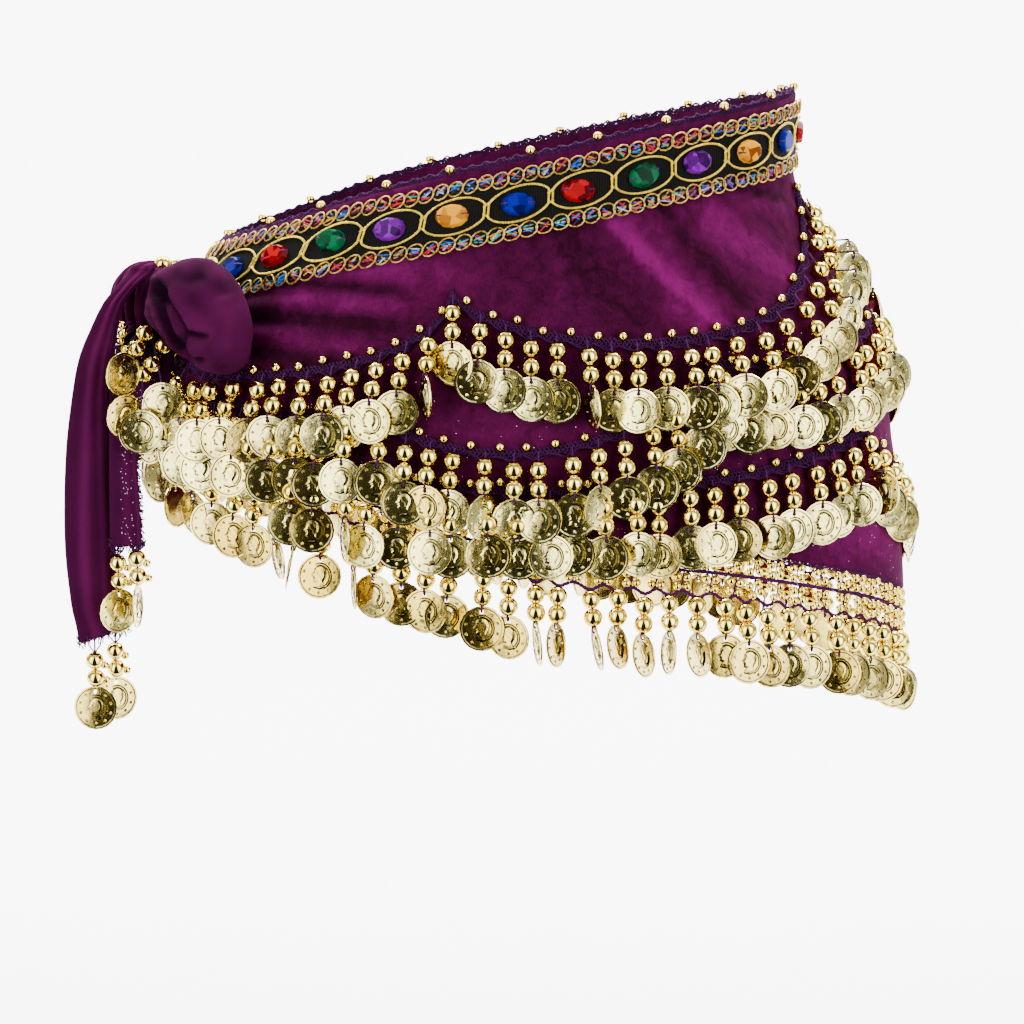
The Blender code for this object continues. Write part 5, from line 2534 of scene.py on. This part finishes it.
    def frayed_end(self) -> Piece:
        """Crochet along the cut end, loose threads below it and along the selvedge.

        Returns:
            The threads.
        """
        rng = np.random.default_rng(self.seed)
        end = self.sections[-1]
        x = np.linspace(end.left - 0.6, end.right + 1.2, 60)
        level = end.height + self.rise(x, np.full_like(x, end.height))
        paths = []
        for ply in range(5):
            phase = TURN * (x - end.left) / 3.7 + ply * 1.5
            paths.append(np.stack([
                x + 0.5 * np.cos(phase), end.front - 0.3 + 2.3 * ply / 4 + 0.7 * np.cos(2 * phase),
                level + 1.2 + 1.9 * np.sin(phase) + rng.normal(0, 0.25, 60),
            ], -1))
        for _ in range(self.frays):
            foot = rng.uniform(end.left, end.right + 1)
            foot_height = end.height + float(self.rise(np.array(foot), np.array(end.height)))
            lengths = np.linspace(0, rng.uniform(0.2, 1.0) * self.fray_length, 6)
            bend = np.cumsum(rng.normal(0, 0.5, (6, 2)), axis=0)
            forward = end.front + 1.6 + bend[:, 1] * 0.6
            paths.append(np.stack([foot + bend[:, 0], forward, foot_height + 1 - lengths], -1))
        for _ in range(3 * self.frays):
            height = rng.uniform(end.height + self.slant, self.sections[3].height)
            foot = self.read("right", height) - 0.2
            reach = np.linspace(0, rng.uniform(0.5, 2.2), 4)
            droop = np.cumsum(rng.normal(-0.2, 0.5, 4))
            y = self.read("front", height) + np.cumsum(rng.normal(0, 0.4, 4))
            paths.append(np.stack([foot + reach, y, height + droop], -1))
        mesh = yarn(paths, self.fray_radius)
        return add_piece(self.name + "_frays", mesh, [self.finishes.crochet], Slot.TIE)

    def hung_strings(self) -> None:
        """Strings of two beads, small beads and a coin below the end."""
        rng = np.random.default_rng(self.seed + 1)
        end = self.sections[-1]
        beads, small, holes, threads = [], [], [], []
        for string in self.strings:
            x, y = string.x, end.front + string.behind
            top = end.height + float(self.rise(np.array(x), np.array(end.height)))
            first, second, hole = (end.height - string.lead - drop for drop in (0.0, 8.0, 14.4))
            beads += [(x, y, first), (x + 0.4, y, second)]
            small += [(x + 4.4, y + 0.8, first - 2.2), (x + 5.0, y + 1.6, second - 1.0)]
            holes.append((x + 0.2, y, hole))
            spots = (x, y, top), (x, y, first), (x + 0.4, y, second), (x + 0.2, y, hole + 1)
            threads.append(np.array(spots))
            for side in (-1, 1):
                threads.append(np.array([
                    (x + side * 3.4, y - 0.4, top + 0.6), (x + side * 2.6, y - 0.8, (top + first) / 2 + 2),
                    (x, y, first + 3.4),
                ]))
        add_trims(self.name, self.finishes, rng, (beads, small), self.bead_radii, [self.node + "_fringe"])
        frames = hung_frames(np.array(holes), [string.turn for string in self.strings])
        add_coins(self.name + "_coins", frames, rng.uniform(0.2, 0.8, len(frames)), self.finishes)
        mesh = yarn(threads, self.thread_radius)
        add_piece(self.name + "_string_thread", mesh, [self.finishes.stitch], Slot.CROCHET)


@dataclass
class KnotTrims:
    """The few beads and coins of the panel's end that show round the knot."""

    finishes: Finishes
    beads: tuple[Triple, ...] = (
        (-163.9, -36.0, -25.2), (-171.3, -49.0, -54.8), (-174.9, -51.5, -61.6), (-168.2, -50.0, -68.8),
        (-172.1, -52.5, -73.2), (-163.4, -46.0, -60.8),
    )
    small_beads: tuple[Triple, ...] = (
        (-181.3, -55.0, -51.0), (-180.8, -56.5, -54.5), (-182.1, -55.0, -58.1), (-179.6, -56.0, -61.7),
    )
    coins: tuple[tuple[float, float, float, float], ...] = (
        (-180.1, -62.0, -65.2, 44.0), (-179.3, -61.5, -84.1, 38.0), (-172.4, -64.0, -90.8, 12.0),
        (-162.7, -60.0, -78.8, -10.0), (-158.3, -32.0, -25.4, 20.0),
    )
    bead_radii: Pair = (4.2, 2.0)
    tones: tuple[float, ...] = (0.75, 0.6, 0.2, 0.3, 0.8)
    root: Triple = (-171.0, -38.0, -48.0)
    thread_radius: float = 0.4
    seed: int = 401

    def build(self) -> None:
        """Build them; a coin's four numbers are its hole's place and its turn."""
        rng = np.random.default_rng(self.seed)
        add_trims("knot", self.finishes, rng, (self.beads, self.small_beads), self.bead_radii)
        places = np.array(self.coins)
        frames = hung_frames(places[:, :3], places[:, 3])
        add_coins("knot_coins", frames, np.array(self.tones), self.finishes)
        threads = [np.array([self.root, spot[:3]]) for spot in (*self.small_beads, *self.coins)]
        mesh = yarn(threads, self.thread_radius)
        add_piece("knot_trim_thread", mesh, [self.finishes.stitch], Slot.CROCHET)


LONG_TAIL = (
    TailSection(-25, -177, -166, -50), TailSection(-33, -182.5, -174, -54.5),
    TailSection(-41, -189, -180, -56.5), TailSection(-53, -195, -183, -57),
    TailSection(-65, -200, -184.5, -56.5), TailSection(-80, -203.5, -186, -52),
    TailSection(-110, -207.5, -186, -48), TailSection(-150, -208.5, -185.5, -47),
    TailSection(-178, -206, -185, -47), TailSection(-196, -203, -181, -46),
)
SHORT_TAIL = (
    TailSection(-48, -182, -158, -40), TailSection(-60, -184.5, -158, -42),
    TailSection(-76, -186, -161, -45), TailSection(-96, -187, -170, -53),
    TailSection(-110, -187, -174.5, -57.5),
    TailSection(-125, -187, -174, -59), TailSection(-150, -187, -173, -58),
)


# ---------------------------------------------------------------- the room


@dataclass(frozen=True)
class Studio:
    """A pale floor that curves up into a backdrop, soft lamps and the camera."""

    floor_height: float = -0.52
    half_width: float = 4.5
    front: float = -0.15
    wall_at: float = 3.7
    wall_height: float = 3.6
    cove: float = 0.9
    cove_steps: int = 12
    fibre_mm: float = 9
    camera_place: Triple = (-0.0064, -2.1, 0.105)
    camera_down: float = 6.7
    focal_pixels: float = 4575.0
    frame_pixels: float = 1024.0
    sensor_mm: float = 36.0
    panel_rise: float = 0.3
    panel_light: float = 8.0
    dim_light: float = 0.6
    seen_light: float = 1.6

    def build(self) -> None:
        """Build the room."""
        self.backdrop()
        self.lamps()
        self.sky()
        self.camera()

    def backdrop(self) -> None:
        """The floor and the backdrop, one sheet extruded sideways."""
        sheet = bmesh.new()
        profile = [(self.front, self.floor_height)]
        for turn in np.linspace(0, math.pi / 2, self.cove_steps + 1):
            profile.append((self.wall_at - self.cove + self.cove * math.sin(turn),
                            self.floor_height + self.cove - self.cove * math.cos(turn)))
        profile.append((self.wall_at, self.wall_height))
        line = [sheet.verts.new((-self.half_width, y, z)) for y, z in profile]
        edges = [sheet.edges.new(pair) for pair in zip(line, line[1:])]
        made = bmesh.ops.extrude_edge_only(sheet, edges=edges)["geom"]
        moved = [v for v in made if isinstance(v, bmesh.types.BMVert)]
        bmesh.ops.translate(sheet, verts=moved, vec=(2 * self.half_width, 0, 0))
        mesh = close_bmesh(sheet)
        material, tree, shader = new_material("matt_white_paper")
        place = add_node(tree, "TexCoord").outputs["Object"]
        fibre = noisy(tree, place, per_mm(self.fibre_mm), 3.0)
        colour = ramp(tree, fibre, (0.0, "#F0F0F2"), (1.0, "#F8F8FA"))
        dress(tree, shader, {"Base Color": colour, "Roughness": 0.9})
        mesh.materials.append(material)
        room = bpy.data.objects.new("studio_backdrop", mesh)
        bpy.context.scene.collection.objects.link(room)

    def lamps(self) -> None:
        """Soft boxes beside and over the scarf, and a row that lights the backdrop only."""
        self.lamp("key", (-1.7, -1.5, 1.2), 1.2, 10)
        self.lamp("fill", (1.9, -1.2, 0.7), 1.4, 7)
        self.lamp("top", (0.1, 0.1, 1.9), 1.2, 10)
        self.lamp("back_left", (-1.5, 1.0, 0.7), 0.9, 8)
        self.lamp("back_right", (1.5, 1.0, 0.7), 0.9, 8)
        for side in (-1.1, 0.0, 1.1):
            self.lamp("backdrop_floor", (side, 0.75, 1.7), 0.9, 125, (side, 1.75, -0.4))
            self.lamp("backdrop_wall", (side, 2.1, 1.9), 0.9, 95, (side, 3.3, -0.1))

    def lamp(
        self, name: str, place: Triple, size: float, power: float,
        target: Triple = FOCUS_AT,
    ) -> None:
        """Add one soft box.

        Args:
            name: Its name.
            place: Where it stands, in metres.
            size: Its side, in metres.
            power: In watts.
            target: Where it looks.
        """
        light = bpy.data.lights.new(name, "AREA")
        light.energy = power
        light.size = size
        holder = bpy.data.objects.new(name, light)
        holder.location = place
        aim = Vector(target) - Vector(place)
        holder.rotation_euler = aim.to_track_quat("-Z", "Y").to_euler()
        bpy.context.scene.collection.objects.link(holder)

    def sky(self) -> None:
        """A dim surround, a bright panel to each side and a dark flame-shaped patch between them."""
        world = bpy.data.worlds.new("studio_surround")
        bpy.context.scene.world = world
        world.use_nodes = True
        tree = world.node_tree
        shader = tree.nodes["Background"]
        way = add_node(tree, "TexCoord").outputs["Generated"]
        parts = add_node(tree, "SeparateXYZ", inputs={0: way})
        ahead = math_node(tree, "MAXIMUM", math_node(tree, "MULTIPLY", parts.outputs[1], -1.0), 0.02)
        side = math_node(tree, "ABSOLUTE", math_node(tree, "DIVIDE", parts.outputs[0], ahead))
        rise = math_node(tree, "DIVIDE", parts.outputs[2], ahead)
        inside = math_node(tree, "SUBTRACT", ranged(tree, rise, -2.2, 1.3, 1.2, 0.0), side)
        flame = ranged(tree, inside, -0.04, 0.08, 0.0, 1.0, "SMOOTHSTEP")
        seen = add_node(tree, "LightPath").outputs["Is Camera Ray"]
        flame = math_node(tree, "MULTIPLY", flame, math_node(tree, "SUBTRACT", 1.0, seen))
        light = ramp(tree, flame, (0.0, "#F2F3F6"), (1.0, "#282920"))
        gap = math_node(tree, "ABSOLUTE", math_node(tree, "SUBTRACT", rise, self.panel_rise))
        panel = 1.0
        for fade in ((side, 0.05, 0.8, 0.0, 1.0), (side, 1.2, 2.8, 1.0, 0.0), (gap, 0.35, 1.6, 1.0, 0.0)):
            panel = math_node(tree, "MULTIPLY", ranged(tree, *fade, "SMOOTHSTEP"), panel)
        strength = add_node(tree, "Mix", inputs={
            0: seen, 2: scaled(tree, panel, self.panel_light, self.dim_light), 3: self.seen_light,
        }).outputs[0]
        dress(tree, shader, {"Color": light, "Strength": strength})

    def camera(self) -> None:
        """The camera, a long lens slightly above the waist."""
        data = bpy.data.cameras.new("camera")
        data.sensor_width = self.sensor_mm
        data.lens = self.sensor_mm * self.focal_pixels / self.frame_pixels
        data.clip_end = 30.0
        camera = bpy.data.objects.new("camera", data)
        camera.location = self.camera_place
        camera.rotation_euler = (math.radians(90 - self.camera_down), 0, 0)
        bpy.context.scene.collection.objects.link(camera)
        bpy.context.scene.camera = camera


def main() -> None:
    """Build the scarf and its room, and report each piece."""
    logging.basicConfig(level=logging.INFO, format="%(name)s: %(message)s")
    finishes = Finishes()
    HipPanel(finishes).build()
    WaistEdging(finishes).build()
    JewelRibbon(finishes).build()
    rows = [BeadStrings(finishes, index) for index in range(3)]
    rows.append(BeadStrings(finishes, 3, edge_on=0.17, edge_on_ahead=0.5, brassier=0.4, coin_turn=12.0,
                            swing=3.2))
    for row in rows:
        row.build()
    HemNet(finishes).build(rows[3].angles)
    KnotLobe(finishes).build()
    KnotWrap(finishes).build()
    Tail(finishes, "tie_long_end", "tail_long", LONG_TAIL, (
        Pleat(0.34, 0.14, 1.2, 0.35), Pleat(0.72, 0.07, 0.8, 0.12), Pleat(0.9, 0.05, -0.6, -0.25),
    ), (
        TailString(-195.7, 0.0, 8.1, -8), TailString(-186.8, 5.5, 4.5, 24),
    ), (0.05, 0.172), (2, 3), 40, 4.5, slant=7.0).build()
    Tail(finishes, "tie_short_end", "tail_short", SHORT_TAIL, (
        Pleat(0.5, 0.2, 0.8, 0.15), Pleat(0.9, 0.08, 0.8, 0.2),
    ), (
        TailString(-184.0, 3.0, 8.4, 38), TailString(-175.2, 0.0, 6.0, 82),
    ), (0.036, 0.105), (0.25, 0.75), 45, 6.0, top_shade=0.45, seed=331).build()
    KnotTrims(finishes).build()
    Studio().build()


if __name__ == "__main__":
    main()
